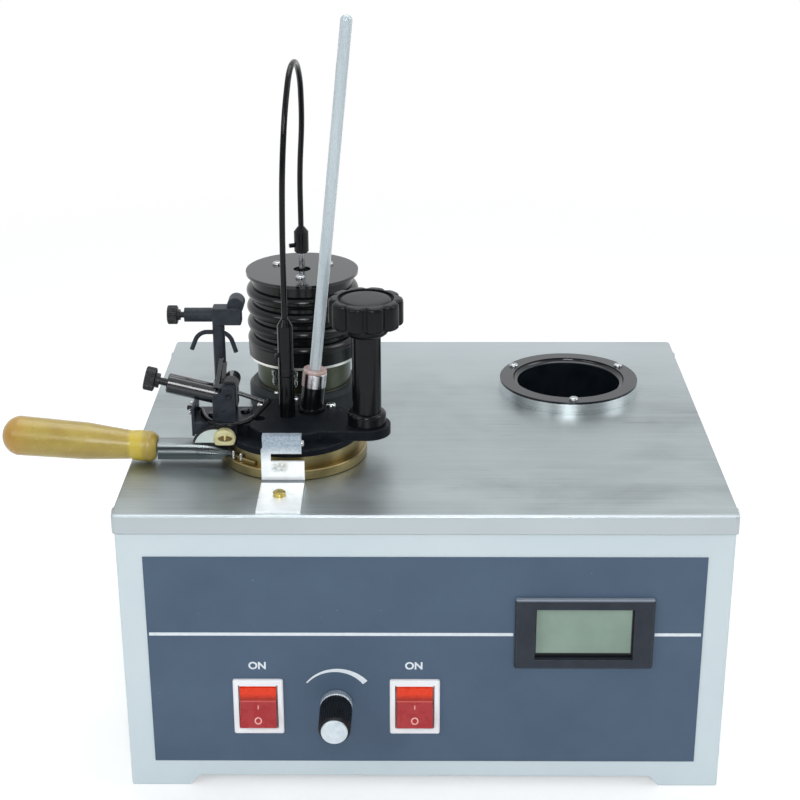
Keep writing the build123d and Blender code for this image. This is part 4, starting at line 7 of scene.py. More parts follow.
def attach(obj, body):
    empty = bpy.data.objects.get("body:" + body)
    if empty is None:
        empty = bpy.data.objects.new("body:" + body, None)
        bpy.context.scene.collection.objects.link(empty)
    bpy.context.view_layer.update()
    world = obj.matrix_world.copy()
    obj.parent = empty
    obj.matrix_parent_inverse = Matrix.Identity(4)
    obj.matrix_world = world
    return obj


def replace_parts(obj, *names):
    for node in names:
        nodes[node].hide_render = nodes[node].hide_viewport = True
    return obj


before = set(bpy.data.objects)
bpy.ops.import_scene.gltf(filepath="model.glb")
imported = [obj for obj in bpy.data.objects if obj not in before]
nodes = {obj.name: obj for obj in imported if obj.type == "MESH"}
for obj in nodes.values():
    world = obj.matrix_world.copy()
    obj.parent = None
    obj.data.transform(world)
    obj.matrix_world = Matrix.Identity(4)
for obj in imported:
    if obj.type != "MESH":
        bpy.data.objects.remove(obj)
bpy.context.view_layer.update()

MM = 0.001
LEFT, RIGHT, FRONT, UP = (-1, 0, 0), (1, 0, 0), (0, -1, 0), (0, 0, 1)
# the upright axes of the stove, the well and the motor, in millimetres
STOVE, WELL, MOTOR = (-78.5, -51.5), (95.5, 51.5), (-77.0, 34.0)
# the plane of what is printed on the panel, and the middles of the two switches along X
PRINT_PLANE = -141.2
SWITCHES = (("stir", -96.4), ("power", -5.6))
# how strongly the white room lights what stands in it
LIT = 0.36
# faces that meet at a sharper angle than this keep their edge
SHARP = radians(32)


# ---------------------------------------------------------------- camera
def place_camera():
    """The camera of the photograph: in front of the instrument, a little above it."""
    yaw, pitch, roll = radians(-0.52), radians(21.95), radians(-0.16)
    forward = Vector((sin(yaw) * cos(pitch), cos(yaw) * cos(pitch), -sin(pitch)))
    right = Vector((cos(yaw), -sin(yaw), 0))
    up = right.cross(forward)
    level_right = right * cos(roll) + up * sin(roll)
    level_up = up * cos(roll) - right * sin(roll)
    data = bpy.data.cameras.new("camera")
    data.sensor_width = 36.0
    data.lens = 75.384
    data.clip_start, data.clip_end = 0.05, 60.0
    camera = bpy.data.objects.new("camera", data)
    turn = Matrix((level_right, level_up, -forward)).transposed()
    place = Vector((-0.0061, -0.9787, 0.5842))
    camera.matrix_world = Matrix.Translation(place) @ turn.to_4x4()
    bpy.context.scene.collection.objects.link(camera)
    bpy.context.scene.camera = camera


# ---------------------------------------------------------------- materials
finishes = {}


def rgb(red, green, blue):
    """A colour as a screen shows it, 0 to 255, as the renderer counts it."""
    def linear(value):
        value /= 255
        return value / 12.92 if value <= 0.04045 else ((value + 0.055) / 1.055) ** 2.4
    return (linear(red), linear(green), linear(blue), 1.0)


class Nodes:
    """Adds nodes to a tree and joins them."""

    def __init__(self, tree):
        self.tree = tree

    def add(self, kind, **settings):
        node = self.tree.nodes.new(kind)
        for key, value in settings.items():
            setattr(node, key, value)
        return node

    def link(self, source, target):
        self.tree.links.new(source, target)

    def feed(self, sockets, values):
        """Gives each socket a number, a colour or what another node puts out."""
        for socket, value in zip(sockets, values):
            if isinstance(value, (tuple, float, int)):
                socket.default_value = value
            else:
                self.link(value, socket)

    def maths(self, kind, first, second=0.0):
        node = self.add("ShaderNodeMath", operation=kind)
        self.feed(node.inputs, (first, second))
        return node.outputs[0]

    def ramp(self, value, low, high, to_low=0.0, to_high=1.0, kind="LINEAR"):
        node = self.add("ShaderNodeMapRange", interpolation_type=kind)
        self.feed([node.inputs[key] for key in ("Value", "From Min", "From Max", "To Min", "To Max")],
                  (value, low, high, to_low, to_high))
        return node.outputs["Result"]


class Shader(Nodes):
    """Builds one node material and keeps it in finishes. Places, depths and radii are in millimetres."""

    def __init__(self, name):
        self.material = finishes[name] = bpy.data.materials.new(name)
        self.material.use_nodes = True
        super().__init__(self.material.node_tree)
        self.main = self.tree.nodes["Principled BSDF"]
        self.place = self.add("ShaderNodeTexCoord").outputs["Object"]

    def stretched(self, scale, move=(0, 0, 0), turn=(0, 0, 0)):
        node = self.add("ShaderNodeMapping")
        self.feed([node.inputs[key] for key in ("Vector", "Location", "Rotation", "Scale")],
                  (self.place, move, turn, scale))
        return node.outputs["Vector"]

    def noise(self, scale, detail=4.0, rough=0.55, distort=0.0, at=None):
        node = self.add("ShaderNodeTexNoise")
        self.feed([node.inputs[key] for key in ("Vector", "Scale", "Detail", "Roughness", "Distortion")],
                  (at or self.place, scale, detail, rough, distort))
        return node.outputs["Fac"]

    def mix(self, factor, first, second):
        node = self.add("ShaderNodeMix", data_type="RGBA")
        self.feed((node.inputs[0], node.inputs[6], node.inputs[7]), (factor, first, second))
        return node.outputs[2]

    def over(self, colour, mask, tint, share=1.0):
        """Lays a share of a tint over a colour where the mask is 1."""
        return self.mix(self.maths("MULTIPLY", mask, share), colour, rgb(*tint))

    def axis(self, name):
        node = self.add("ShaderNodeSeparateXYZ")
        self.link(self.place, node.inputs[0])
        return node.outputs[name]

    def along(self, name, start, full):
        """0 at one place along an axis and 1 at another."""
        return self.ramp(self.axis(name), start * MM, full * MM)

    def within(self, name, low, high, soft=0.2):
        """1 between two places along an axis."""
        return self.maths("MULTIPLY", self.along(name, low - soft, low + soft),
                          self.along(name, high + soft, high - soft))

    def away(self, first, first_at, second, second_at):
        """How far a point is from a line along the third axis, in metres."""
        squares = []
        for name, at in ((first, first_at), (second, second_at)):
            gap = self.maths("ABSOLUTE", self.maths("SUBTRACT", self.axis(name), at * MM))
            squares.append(self.maths("POWER", gap, 2.0))
        return self.maths("SQRT", self.maths("ADD", *squares))

    def bumps(self, height, depth, rounded=0.0):
        bump = self.add("ShaderNodeBump")
        bump.inputs["Strength"].default_value = 1.0
        bump.inputs["Distance"].default_value = depth * MM
        self.link(height, bump.inputs["Height"])
        if rounded:
            self.link(self.bevel(rounded), bump.inputs["Normal"])
        self.link(bump.outputs[0], self.main.inputs["Normal"])

    def bevel(self, radius):
        node = self.add("ShaderNodeBevel", samples=4)
        node.inputs["Radius"].default_value = radius * MM
        return node.outputs[0]

    def edges(self, radius):
        """1 on convex and concave edges, 0 on flat faces."""
        flat = self.add("ShaderNodeNewGeometry")
        dot = self.add("ShaderNodeVectorMath", operation="DOT_PRODUCT")
        self.link(self.bevel(radius), dot.inputs[0])
        self.link(flat.outputs["Normal"], dot.inputs[1])
        return self.ramp(dot.outputs["Value"], 0.995, 0.9)

    def surface(self, colour, rough):
        self.link(colour, self.main.inputs["Base Color"])
        self.link(rough, self.main.inputs["Roughness"])

    def set(self, **values):
        names = {
            "metal": "Metallic", "rough": "Roughness", "specular": "Specular IOR Level",
            "coat": "Coat Weight", "coat_rough": "Coat Roughness", "ior": "IOR",
            "through": "Transmission Weight", "inside": "Subsurface Weight",
        }
        for key, value in values.items():
            self.main.inputs[names[key]].default_value = value


def finish_like(name, dark, light, rough, grain=60.0, stretch=(1, 1, 1), bump=0.0, bump_grain=900.0,
                rounded=0.0, wear_and_sheen=None, edge_radius=0.6, spots=None, paint=None, **fixed):
    """A surface whose colour, roughness and bump all vary, with edges made lighter by wear and a painted
    highlight, and painted zones if asked.
    """
    shader = Shader(name)
    shader.set(**fixed)
    place = shader.stretched(stretch)
    cloud = shader.ramp(shader.noise(grain, 5.0, 0.6, at=place), 0.3, 0.7)
    colour = shader.mix(cloud, rgb(*dark), rgb(*light))
    if spots:
        tint, spot_grain, threshold = spots
        mask = shader.ramp(shader.noise(spot_grain, 3.0, 0.5), threshold, threshold + 0.05)
        colour = shader.over(colour, mask, tint)
    # lighter edges: partly real wear, partly a painted highlight along the edges
    if wear_and_sheen:
        rubbed_and_lit = shader.ramp(shader.noise(350.0, 4.0, 0.6), 0.35, 0.65)
        colour = shader.over(colour, shader.maths("MULTIPLY", shader.edges(edge_radius), rubbed_and_lit), wear_and_sheen)
    if paint:
        colour = paint(shader, colour)
    patchy = shader.ramp(shader.noise(grain * 0.6, 3.0, 0.5), 0.25, 0.75, *rough)
    shader.surface(colour, patchy)
    shader.bumps(shader.noise(bump_grain, 3.0, 0.6, at=place), bump, rounded)


def turned_metal(name, dark, light, rough, centre, paint=None):
    """Metal turned on a lathe about an upright axis: fine rings and streaks that run round."""
    ring_pitch = 1.1 * MM
    shader = Shader(name)
    shader.set(metal=1.0)
    joined = shader.add("ShaderNodeCombineXYZ")
    shader.link(shader.away("X", centre[0], "Y", centre[1]), joined.inputs[0])
    shader.link(shader.axis("Z"), joined.inputs[1])
    rings = shader.noise(1.0 / ring_pitch, 4.0, 0.7, at=joined.outputs[0])
    broad = shader.noise(0.18 / ring_pitch, 3.0, 0.6, at=joined.outputs[0])
    stain = shader.ramp(shader.noise(55.0, 5.0, 0.6), 0.42, 0.68)
    colour = shader.mix(shader.ramp(broad, 0.3, 0.7), rgb(*dark), rgb(*light))
    stained = tuple(channel * 0.45 for channel in rgb(*dark)[:3]) + (1.0,)
    colour = shader.mix(shader.maths("MULTIPLY", stain, 0.5), colour, stained)
    if paint:
        colour = paint(shader, colour)
    shader.surface(colour, shader.ramp(rings, 0.25, 0.75, *rough))
    shader.bumps(rings, 0.03, 0.3)


def lid_steel():
    """Brushed sheet: long streaks along X, smears of handling, and some short scratches."""
    shader = Shader("lid_steel")
    shader.set(metal=1.0)
    streaks = shader.noise(1.0, 6.0, 0.75, at=shader.stretched((9.0, 900.0, 900.0)))
    bands = shader.noise(1.0, 4.0, 0.6, at=shader.stretched((5.0, 42.0, 42.0)))
    smear = shader.noise(11.0, 6.0, 0.62, 0.6)
    colour = shader.mix(shader.ramp(smear, 0.32, 0.7), rgb(128, 136, 138), rgb(167, 175, 176))
    colour = shader.over(colour, shader.ramp(bands, 0.35, 0.65), (156, 164, 166))
    colour = shader.over(colour, shader.ramp(streaks, 0.3, 0.75), (184, 192, 195), 0.4)
    # three sets of scratches, each turned its own way, where a cloud lets them show
    scratch = None
    for turn, length, width, shift in ((0.6, 24.0, 800.0, 3.1), (-0.5, 18.0, 650.0, 8.7),
                                       (1.4, 16.0, 900.0, 5.3)):
        place = shader.stretched((length, width, 1.0), (shift, shift, 0), (0, 0, turn))
        line = shader.ramp(shader.noise(1.0, 1.0, 0.4, at=place), 0.75, 0.79)
        scratch = line if scratch is None else shader.maths("MAXIMUM", scratch, line)
    where = shader.ramp(shader.noise(14.0, 2.0, 0.5), 0.5, 0.6)
    colour = shader.over(colour, shader.maths("MULTIPLY", scratch, where), (108, 116, 122))
    # painted reflection, brighter towards the back, and a painted highlight on the edge that is rolled down in
    # front
    colour = shader.over(colour, shader.along("Y", 20.0, 130.0), (190, 199, 202), 0.6)
    colour = shader.over(colour, shader.along("Y", -138.5, -140.0), (184, 193, 197))
    shader.surface(colour, shader.ramp(smear, 0.3, 0.72, 0.34, 0.46))
    shader.bumps(streaks, 0.06, 1.0)


def thermometer_glass():
    """Milky glass, clouded along its length and flecked."""
    shader = Shader("thermometer_glass")
    shader.set(through=0.25, ior=1.47, coat=1.0, coat_rough=0.04)
    veil = shader.ramp(shader.noise(1.0, 4.0, 0.6, at=shader.stretched((220.0, 220.0, 3.0))), 0.3, 0.7)
    colour = shader.mix(veil, rgb(198, 214, 222), rgb(220, 233, 238))
    fleck = shader.ramp(shader.noise(1500.0, 2.0, 0.5), 0.6, 0.66)
    colour = shader.over(colour, fleck, (140, 158, 170), 0.35)
    shader.surface(colour, shader.ramp(veil, 0.0, 1.0, 0.08, 0.2))
    shader.bumps(shader.noise(300.0, 2.0), 0.02)


def rocker_red_painted_light():
    """The rockers: red plastic, deeper below its fold; above it painted light: a brighter orange red, painted
    shade near the fold, a painted highlight on the fold and a faint painted glow.
    """
    shader = Shader("rocker_red")
    shader.set(coat=0.15, coat_rough=0.2, inside=0.12, specular=0.3)
    upper = shader.along("Z", 59.0, 59.8)
    cloud = shader.ramp(shader.noise(160.0, 4.0), 0.3, 0.7)
    low = shader.mix(cloud, rgb(172, 54, 58), rgb(182, 64, 68))
    # painted highlight: the strip above the fold is a brighter orange copy of the red
    high = shader.mix(cloud, rgb(226, 50, 12), rgb(236, 62, 18))
    # painted shade on the lower part of the bright strip, near the fold
    high = shader.over(high, shader.along("Z", 64.2, 60.6), (120, 16, 10), 0.8)
    # painted highlight along the fold
    fold_highlight = shader.within("Z", 58.9, 59.7, 0.1)
    colour = shader.over(shader.mix(upper, low, high), fold_highlight, (222, 110, 104), 0.7)
    shader.surface(colour, shader.ramp(cloud, 0.0, 1.0, 0.22, 0.36))
    # a faint painted glow on the strip above the fold
    glow = shader.mix(upper, (0.0, 0.0, 0.0, 1.0), rgb(255, 50, 8))
    shader.link(glow, shader.main.inputs["Emission Color"])
    shader.main.inputs["Emission Strength"].default_value = 0.08
    shader.bumps(shader.noise(1400.0), 0.01, 0.3)


def grip_plastic():
    """The handle's amber plastic: waxy, clouded, with rubbed patches."""
    shader = Shader("grip_yellow")
    shader.set(inside=0.35, coat=0.35, coat_rough=0.25)
    shader.main.inputs["Subsurface Radius"].default_value = (0.006, 0.004, 0.0015)
    cloud = shader.ramp(shader.noise(45.0, 6.0, 0.65, 0.4), 0.32, 0.7)
    lengthwise = shader.stretched((20.0, 160.0, 160.0))
    streak = shader.ramp(shader.noise(1.0, 4.0, 0.6, at=lengthwise), 0.35, 0.65)
    colour = shader.mix(cloud, rgb(166, 142, 58), rgb(188, 170, 80))
    colour = shader.over(colour, streak, (156, 124, 46), 0.35)
    # painted shade at its free end, and brighter on the bead next to the bar
    colour = shader.over(colour, shader.along("X", -228.0, -246.0), (184, 134, 48), 0.75)
    colour = shader.over(colour, shader.within("X", -174.5, -166.5, 1.2), (214, 192, 62), 0.7)
    fleck = shader.ramp(shader.noise(620.0, 3.0, 0.5), 0.66, 0.72)
    colour = shader.over(colour, fleck, (216, 198, 132), 0.5)
    shader.surface(colour, shader.ramp(cloud, 0.0, 1.0, 0.3, 0.46))
    shader.bumps(shader.noise(700.0, 4.0), 0.06)


# The paints below add a node's zones of other colours to its finish.
def display_paint(shader, colour):
    """The display shows a grey-green field inside a black border."""
    field = shader.maths("MULTIPLY", shader.within("X", 63.7, 117.9), shader.within("Z", 90.4, 118.4))
    return shader.mix(field, rgb(20, 24, 28), colour)


def bezel_paint(shader, colour):
    """A painted highlight along the bezel's upper edge."""
    return shader.over(colour, shader.along("Z", 125.0, 125.6), (150, 160, 172))


def well_ring_paint(shader, colour):
    """The ring's edge and its foot are bright, its flat top is darker."""
    return shader.over(colour, shader.along("Z", 184.6, 184.2), (226, 231, 233))


def disc_paint(shader, colour):
    """A thin black rim round the gauge disc."""
    rim = shader.ramp(shader.away("X", -123.8, "Z", 188.0), 12.1 * MM, 12.4 * MM)
    return shader.over(colour, rim, (24, 26, 28))


def latch_paint(shader, colour):
    """Bluish and mottled at the top of the latch, nearly white below it and on its foot; a painted shadow runs
    along the fold at its foot.
    """
    mottle = shader.ramp(shader.noise(700.0, 4.0, 0.7), 0.35, 0.65)
    upper = shader.mix(mottle, rgb(132, 148, 166), rgb(184, 197, 208))
    colour = shader.mix(shader.along("Z", 190.0, 200.0), colour, upper)
    # a grey mottled patch on the lower part of the latch
    grey_patch = shader.maths("MULTIPLY", shader.within("X", -88.0, -80.0, 1.5),
                          shader.within("Z", 184.5, 189.5, 1.2))
    colour = shader.over(colour, shader.maths("MULTIPLY", grey_patch, mottle), (150, 160, 160))
    # painted shadow along the fold at the latch's foot
    fold = shader.maths("MULTIPLY", shader.within("Z", 177.6, 179.0, 0.1),
                        shader.along("Y", -101.5, -100.5))
    return shader.over(colour, fold, (92, 100, 106))


def neck_paint(shader, colour):
    """A white line along the cover's lower edge, and a paler one where the neck stands on its base."""
    colour = shader.over(colour, shader.along("Z", 192.3, 191.9), (170, 172, 158))
    outside = shader.ramp(shader.away("X", MOTOR[0], "Y", MOTOR[1]), 31.0 * MM, 31.5 * MM)
    lip = shader.maths("MULTIPLY", shader.along("Z", 209.8, 210.1), outside)
    return shader.over(colour, lip, (240, 241, 236))


def floor_screw_paint(shader, colour):
    """The two screws in the bracket's floor are coloured nearly black."""
    return shader.over(colour, shader.along("X", -103.0, -103.5), (26, 28, 32))


def latch_screw_paint(shader, colour):
    """The screw on the latch's foot is brass."""
    return shader.over(colour, shader.along("Z", 186.0, 185.0), (186, 168, 96))


def bar_paint(shader, colour):
    """The handle's bar is pale along its top, dark below, and has painted shade in the groove along its middle.
    """
    colour = shader.over(colour, shader.along("Z", 185.2, 184.6), (62, 68, 70), 0.8)
    # painted shade in the groove along the bar's middle
    return shader.over(colour, shader.within("Z", 186.5, 188.5, 0.4), (58, 62, 64), 0.8)


def ferrule_paint(shader, colour):
    """A painted reflection of something dark and pink on the ferrule's left."""
    return shader.over(colour, shader.along("X", -66.8, -70.0), (96, 58, 62), 0.75)


# What the bright screws have in common.
bright_screw = {"rough": (0.16, 0.32), "grain": 600.0, "bump": 0.03, "bump_grain": 2500.0, "rounded": 0.2,
                "metal": 1.0}
# In the finishes below, the lighter edge colour is partly real wear and partly a painted highlight.
finish_like("case_paint", (206, 221, 227), (214, 228, 233), (0.38, 0.52), grain=9.0, bump=0.04,
            bump_grain=1100.0, rounded=0.8, specular=0.4, wear_and_sheen=(232, 240, 242))
lid_steel()
finish_like("panel_blue", (72, 91, 113), (78, 98, 121), (0.38, 0.5), grain=24.0, bump=0.02,
            bump_grain=2600.0, rounded=0.2, specular=0.35, spots=((104, 122, 142), 420.0, 0.74))
finish_like("screw_steel", (150, 154, 158), (200, 203, 205), **bright_screw)
finish_like("cover_screw", (160, 164, 168), (206, 209, 211), paint=floor_screw_paint, **bright_screw)
finish_like("latch_screw", (160, 162, 160), (206, 208, 205), paint=latch_screw_paint, **bright_screw)
finish_like("ferrule", (176, 176, 178), (216, 216, 218), (0.18, 0.3), grain=500.0, bump=0.03,
            bump_grain=2200.0, rounded=0.3, metal=1.0, paint=ferrule_paint)
finish_like("black_plastic", (13, 15, 18), (21, 24, 28), (0.2, 0.34), grain=80.0, bump=0.03,
            bump_grain=1600.0, rounded=0.4, specular=0.2, wear_and_sheen=(48, 52, 57))
finish_like("knob_black", (8, 10, 12), (15, 18, 20), (0.24, 0.36), grain=60.0, bump=0.02, bump_grain=1500.0,
            rounded=0.3, specular=0.2, wear_and_sheen=(46, 51, 56), edge_radius=0.4)
finish_like("bellows_black", (9, 11, 13), (17, 19, 22), (0.14, 0.26), grain=60.0, bump=0.03,
            bump_grain=900.0, specular=0.36)
finish_like("meter_glass", (134, 156, 144), (146, 168, 154), (0.12, 0.22), grain=40.0, bump=0.01,
            bump_grain=2000.0, specular=0.3, paint=display_paint)
finish_like("meter_black", (42, 48, 57), (52, 58, 67), (0.34, 0.5), grain=70.0, bump=0.03, bump_grain=2200.0,
            rounded=0.5, specular=0.2, wear_and_sheen=(84, 92, 104), paint=bezel_paint)
finish_like("switch_white", (246, 249, 254), (252, 253, 255), (0.26, 0.4), grain=60.0, bump=0.02,
            bump_grain=2000.0, rounded=0.4, specular=0.45)
rocker_red_painted_light()
finish_like("zinc_plate", (150, 152, 150), (186, 188, 186), (0.26, 0.42), grain=220.0, bump=0.04,
            bump_grain=1500.0, metal=1.0)
finish_like("cap_aluminium", (196, 208, 216), (216, 225, 231), (0.3, 0.42), grain=300.0, bump=0.03,
            bump_grain=3000.0, rounded=0.4, metal=0.6)
finish_like("board_green", (20, 74, 40), (34, 96, 54), (0.3, 0.45), grain=200.0, bump=0.04, bump_grain=900.0,
            specular=0.5)
finish_like("black_enamel", (14, 20, 25), (24, 31, 37), (0.12, 0.22), grain=90.0, bump=0.02,
            bump_grain=900.0, rounded=0.3, specular=0.42, coat=0.1, coat_rough=0.05)
turned_metal("ring_aluminium", (140, 150, 156), (180, 190, 195), (0.2, 0.4), WELL, paint=well_ring_paint)
turned_metal("stove_brass", (134, 120, 82), (178, 162, 116), (0.26, 0.46), STOVE)
turned_metal("cup_brass", (140, 126, 88), (184, 168, 122), (0.24, 0.42), STOVE)
finish_like("insulation", (196, 190, 172), (222, 217, 202), (0.8, 0.95), grain=120.0, bump=0.6,
            bump_grain=420.0)
finish_like("satin_black", (17, 20, 24), (26, 30, 35), (0.32, 0.46), grain=120.0, bump=0.05,
            bump_grain=1400.0, rounded=0.4, specular=0.07, wear_and_sheen=(64, 70, 78),
            spots=((44, 49, 56), 700.0, 0.74))
finish_like("base_black", (34, 38, 42), (48, 53, 57), (0.3, 0.44), grain=90.0, bump=0.05, bump_grain=1200.0,
            rounded=0.4, specular=0.12, wear_and_sheen=(70, 76, 82))
finish_like("bracket_grey", (38, 43, 50), (54, 60, 68), (0.3, 0.46), grain=170.0, bump=0.06,
            bump_grain=1100.0, rounded=0.4, specular=0.14, wear_and_sheen=(92, 99, 108),
            spots=((24, 27, 31), 380.0, 0.66))
finish_like("shining_black", (9, 11, 14), (16, 18, 22), (0.12, 0.2), grain=120.0, bump=0.03,
            bump_grain=1100.0, rounded=0.3, specular=0.22, wear_and_sheen=(46, 50, 56), edge_radius=0.4)
finish_like("barrel_black", (24, 27, 31), (36, 40, 45), (0.16, 0.24), grain=160.0, bump=0.03,
            bump_grain=1200.0, rounded=0.3, specular=0.5, coat=0.5, coat_rough=0.12, wear_and_sheen=(110, 118, 126))
finish_like("olive_metal", (62, 66, 50), (92, 96, 78), (0.2, 0.36), grain=26.0, bump=0.03, bump_grain=800.0,
            metal=0.8, coat=0.3, coat_rough=0.1, paint=neck_paint)
finish_like("gloss_black", (14, 18, 22), (22, 27, 31), (0.08, 0.13), grain=30.0, bump=0.004,
            bump_grain=600.0, rounded=0.3, specular=0.5, wear_and_sheen=(96, 104, 112))
finish_like("bracket_steel", (236, 242, 244), (251, 253, 254), (0.26, 0.4), grain=130.0,
            stretch=(1.0, 1.0, 0.35), bump=0.06, bump_grain=900.0, rounded=0.3, metal=0.35,
            paint=latch_paint)
finish_like("bar_steel", (116, 124, 126), (158, 166, 168), (0.22, 0.38), grain=70.0,
            stretch=(0.12, 1.0, 1.0), bump=0.06, bump_grain=900.0, rounded=0.3, metal=0.8, paint=bar_paint)
grip_plastic()
finish_like("knurled_black", (14, 15, 17), (36, 38, 41), (0.3, 0.44), grain=700.0, bump=0.08,
            bump_grain=1500.0, rounded=0.2, specular=0.3, wear_and_sheen=(92, 95, 98), edge_radius=0.3)
thermometer_glass()
finish_like("gauge_white", (204, 218, 214), (218, 230, 227), (0.25, 0.4), grain=90.0, bump=0.02,
            bump_grain=1500.0, rounded=0.2, paint=disc_paint)
finish_like("boss_cream", (204, 198, 146), (222, 217, 172), (0.3, 0.45), grain=160.0, bump=0.05,
            bump_grain=1100.0, rounded=0.3, spots=((180, 172, 120), 500.0, 0.6))
finish_like("recess_shade_brown", (86, 72, 30), (128, 108, 52), (0.35, 0.5), grain=500.0, bump=0.05,
            bump_grain=1500.0)
finish_like("gold_screw", (206, 180, 110), (238, 220, 160), (0.2, 0.35), grain=500.0, bump=0.03,
            bump_grain=2000.0, rounded=0.2, metal=0.8)
finish_like("print_white", (222, 232, 240), (236, 243, 248), (0.4, 0.55), grain=300.0, bump=0.01,
            bump_grain=2500.0)
finish_like("mark_pink", (240, 170, 168), (250, 196, 192), (0.35, 0.5), grain=500.0, bump=0.01,
            bump_grain=2500.0)
finish_like("clear_pink", (206, 150, 146), (232, 186, 180), (0.14, 0.26), grain=300.0, bump=0.03,
            bump_grain=1400.0, inside=0.4, coat=0.4, coat_rough=0.1)


node_finish = {
    "case_paint": ["case_shell", "base_plate"],
    "lid_steel": ["top_plate"],
    "panel_blue": ["panel_overlay"],
    "screw_steel": ["case_screws", "motor_disc_screws", "stirrer_shaft", "motor_shaft"],
    "cover_screw": ["cover_screws"],
    "latch_screw": ["latch_fasteners"],
    "ferrule": ["thermometer_ferrule"],
    "black_plastic": ["mains_inlet", "operating_knob", "heat_knob"],
    "bellows_black": ["motor_cover"],
    "meter_black": ["meter_bezel"],
    "meter_glass": ["meter_window"],
    "switch_white": ["stir_switch_frame", "power_switch_frame"],
    "rocker_red": ["stir_rocker", "power_rocker"],
    "zinc_plate": ["control_pot", "control_shaft", "heater_band", "motor_body", "cover_shutter",
                   "return_spring", "operating_spindle"],
    "cap_aluminium": ["heat_knob_cap"],
    "board_green": ["control_board"],
    "black_enamel": ["well_bowl"],
    "ring_aluminium": ["well_ring", "heating_chamber"],
    "stove_brass": ["stove_ring"],
    "cup_brass": ["test_cup"],
    "insulation": ["stove_jacket"],
    "satin_black": ["cover_rim", "cover_plate"],
    "base_black": ["motor_base"],
    "bracket_grey": ["burner_bracket", "pilot_post", "pilot_valve_body"],
    "shining_black": ["operating_column", "stirrer_bush", "stirrer_coupling", "motor_coupling",
                      "flexible_shaft", "thermometer_socket", "gas_tube"],
    "barrel_black": ["burner_body"],
    "olive_metal": ["motor_neck"],
    "gloss_black": ["motor_cover_disc"],
    "bracket_steel": ["latch_bracket"],
    "bar_steel": ["cup_handle_bar"],
    "grip_yellow": ["cup_handle_grip"],
    "knurled_black": ["burner_thumb_screw", "pilot_thumb_screw"],
    "thermometer_glass": ["thermometer"],
    "gauge_white": ["gauge_disc"],
    "boss_cream": ["gauge_boss"],
}
for finish, names in node_finish.items():
    for name in names:
        data = nodes[name].data
        data.materials.clear()
        data.materials.append(finishes[finish])


# ---------------------------------------------------------------- pieces
def piece(name, mesh, finish, body, smooth=True):
    """A mesh that becomes one piece on a body."""
    obj = bpy.data.objects.new(name, mesh)
    bpy.context.scene.collection.objects.link(obj)
    mesh.materials.clear()
    mesh.materials.append(finishes[finish])
    if smooth:
        for face in mesh.polygons:
            face.use_smooth = True
        mesh.set_sharp_from_angle(angle=SHARP)
    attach(obj, body)
    return obj


def wall(made, low, high):
    """Faces between two closed loops of corners."""
    count = len(low)
    for i in range(count):
        j = (i + 1) % count
        made.faces.new((low[i], low[j], high[j], high[i]))


def as_mesh(name, made):
    bmesh.ops.recalc_face_normals(made, faces=made.faces)
    mesh = bpy.data.meshes.new(name)
    made.to_mesh(mesh)
    made.free()
    return mesh


def flat_piece(name, outlines, origin, right, up, thickness, finish, body, slot):
    """Thin closed outlines, in millimetres on a plane, given a thickness outwards."""
    right, up = Vector(right).normalized(), Vector(up).normalized()
    out = right.cross(up)
    made = bmesh.new()
    for outline in outlines:
        low = [made.verts.new(Vector(origin) * MM + (right * a + up * b) * MM) for a, b in outline]
        high = [made.verts.new(v.co + out * thickness * MM) for v in low]
        made.faces.new(low[::-1])
        made.faces.new(high)
        wall(made, low, high)
    return piece(name, as_mesh(name, made), finish, body, smooth=False)


def words(name, text, size, origin, right, up, finish, body, slot, weight=0.0):
    """Plain letters on a plane, centred on the origin."""
    curve = bpy.data.curves.new(name + "_curve", "FONT")
    curve.body = text
    curve.size = size * MM
    curve.extrude = 0.04 * MM
    curve.offset = weight * MM
    curve.align_x = "CENTER"
    curve.align_y = "CENTER"
    carrier = bpy.data.objects.new(name + "_carrier", curve)
    bpy.context.scene.collection.objects.link(carrier)
    bpy.context.view_layer.update()
    evaluated = carrier.evaluated_get(bpy.context.evaluated_depsgraph_get())
    mesh = bpy.data.meshes.new_from_object(evaluated)
    bpy.data.objects.remove(carrier)
    right, up = Vector(right).normalized(), Vector(up).normalized()
    turn = Matrix((right, up, right.cross(up))).transposed().to_4x4()
    mesh.transform(Matrix.Translation(Vector(origin) * MM) @ turn)
    mesh.name = name
    return piece(name, mesh, finish, body, smooth=False)


def lofted(name, rings, finish, body, cut=None):
    """A skin over closed rings of points in millimetres, shut at both ends.

    If asked, what lies beyond a plane, given by a point and its normal, is cut off."""
    made = bmesh.new()
    loops = [[made.verts.new(Vector(point) * MM) for point in ring] for ring in rings]
    for low, high in zip(loops, loops[1:]):
        wall(made, low, high)
    made.faces.new(loops[0][::-1])
    made.faces.new(loops[-1])
    if cut:
        parts = made.verts[:] + made.edges[:] + made.faces[:]
        done = bmesh.ops.bisect_plane(made, geom=parts, plane_co=Vector(cut[0]) * MM, plane_no=cut[1],
                                      clear_outer=True)
        edges = [part for part in done["geom_cut"] if isinstance(part, bmesh.types.BMEdge)]
        bmesh.ops.edgeloop_fill(made, edges=edges)
    return piece(name, as_mesh(name, made), finish, body)


def turned(name, profile, origin, axis, finish, body, slot, wave=None, steps=96, cut=None):
    """A lathed form, whose profile is (along, radius) from its origin.

    Where a third number follows, that share of wave(angle) comes off the radius."""
    axis = Vector(axis).normalized()
    across = axis.cross(Vector((0, 1, 0)) if abs(axis.y) < 0.7 else Vector((0, 0, 1))).normalized()
    third = axis.cross(across)
    rings = []
    for along, radius, *share in profile:
        ring = []
        for i in range(steps):
            angle = 2 * pi * i / steps
            reach = radius - (share[0] * wave(angle) if share else 0)
            ring.append(Vector(origin) + axis * along + (across * cos(angle) + third * sin(angle)) * reach)
        rings.append(ring)
    return lofted(name, rings, finish, body, cut)


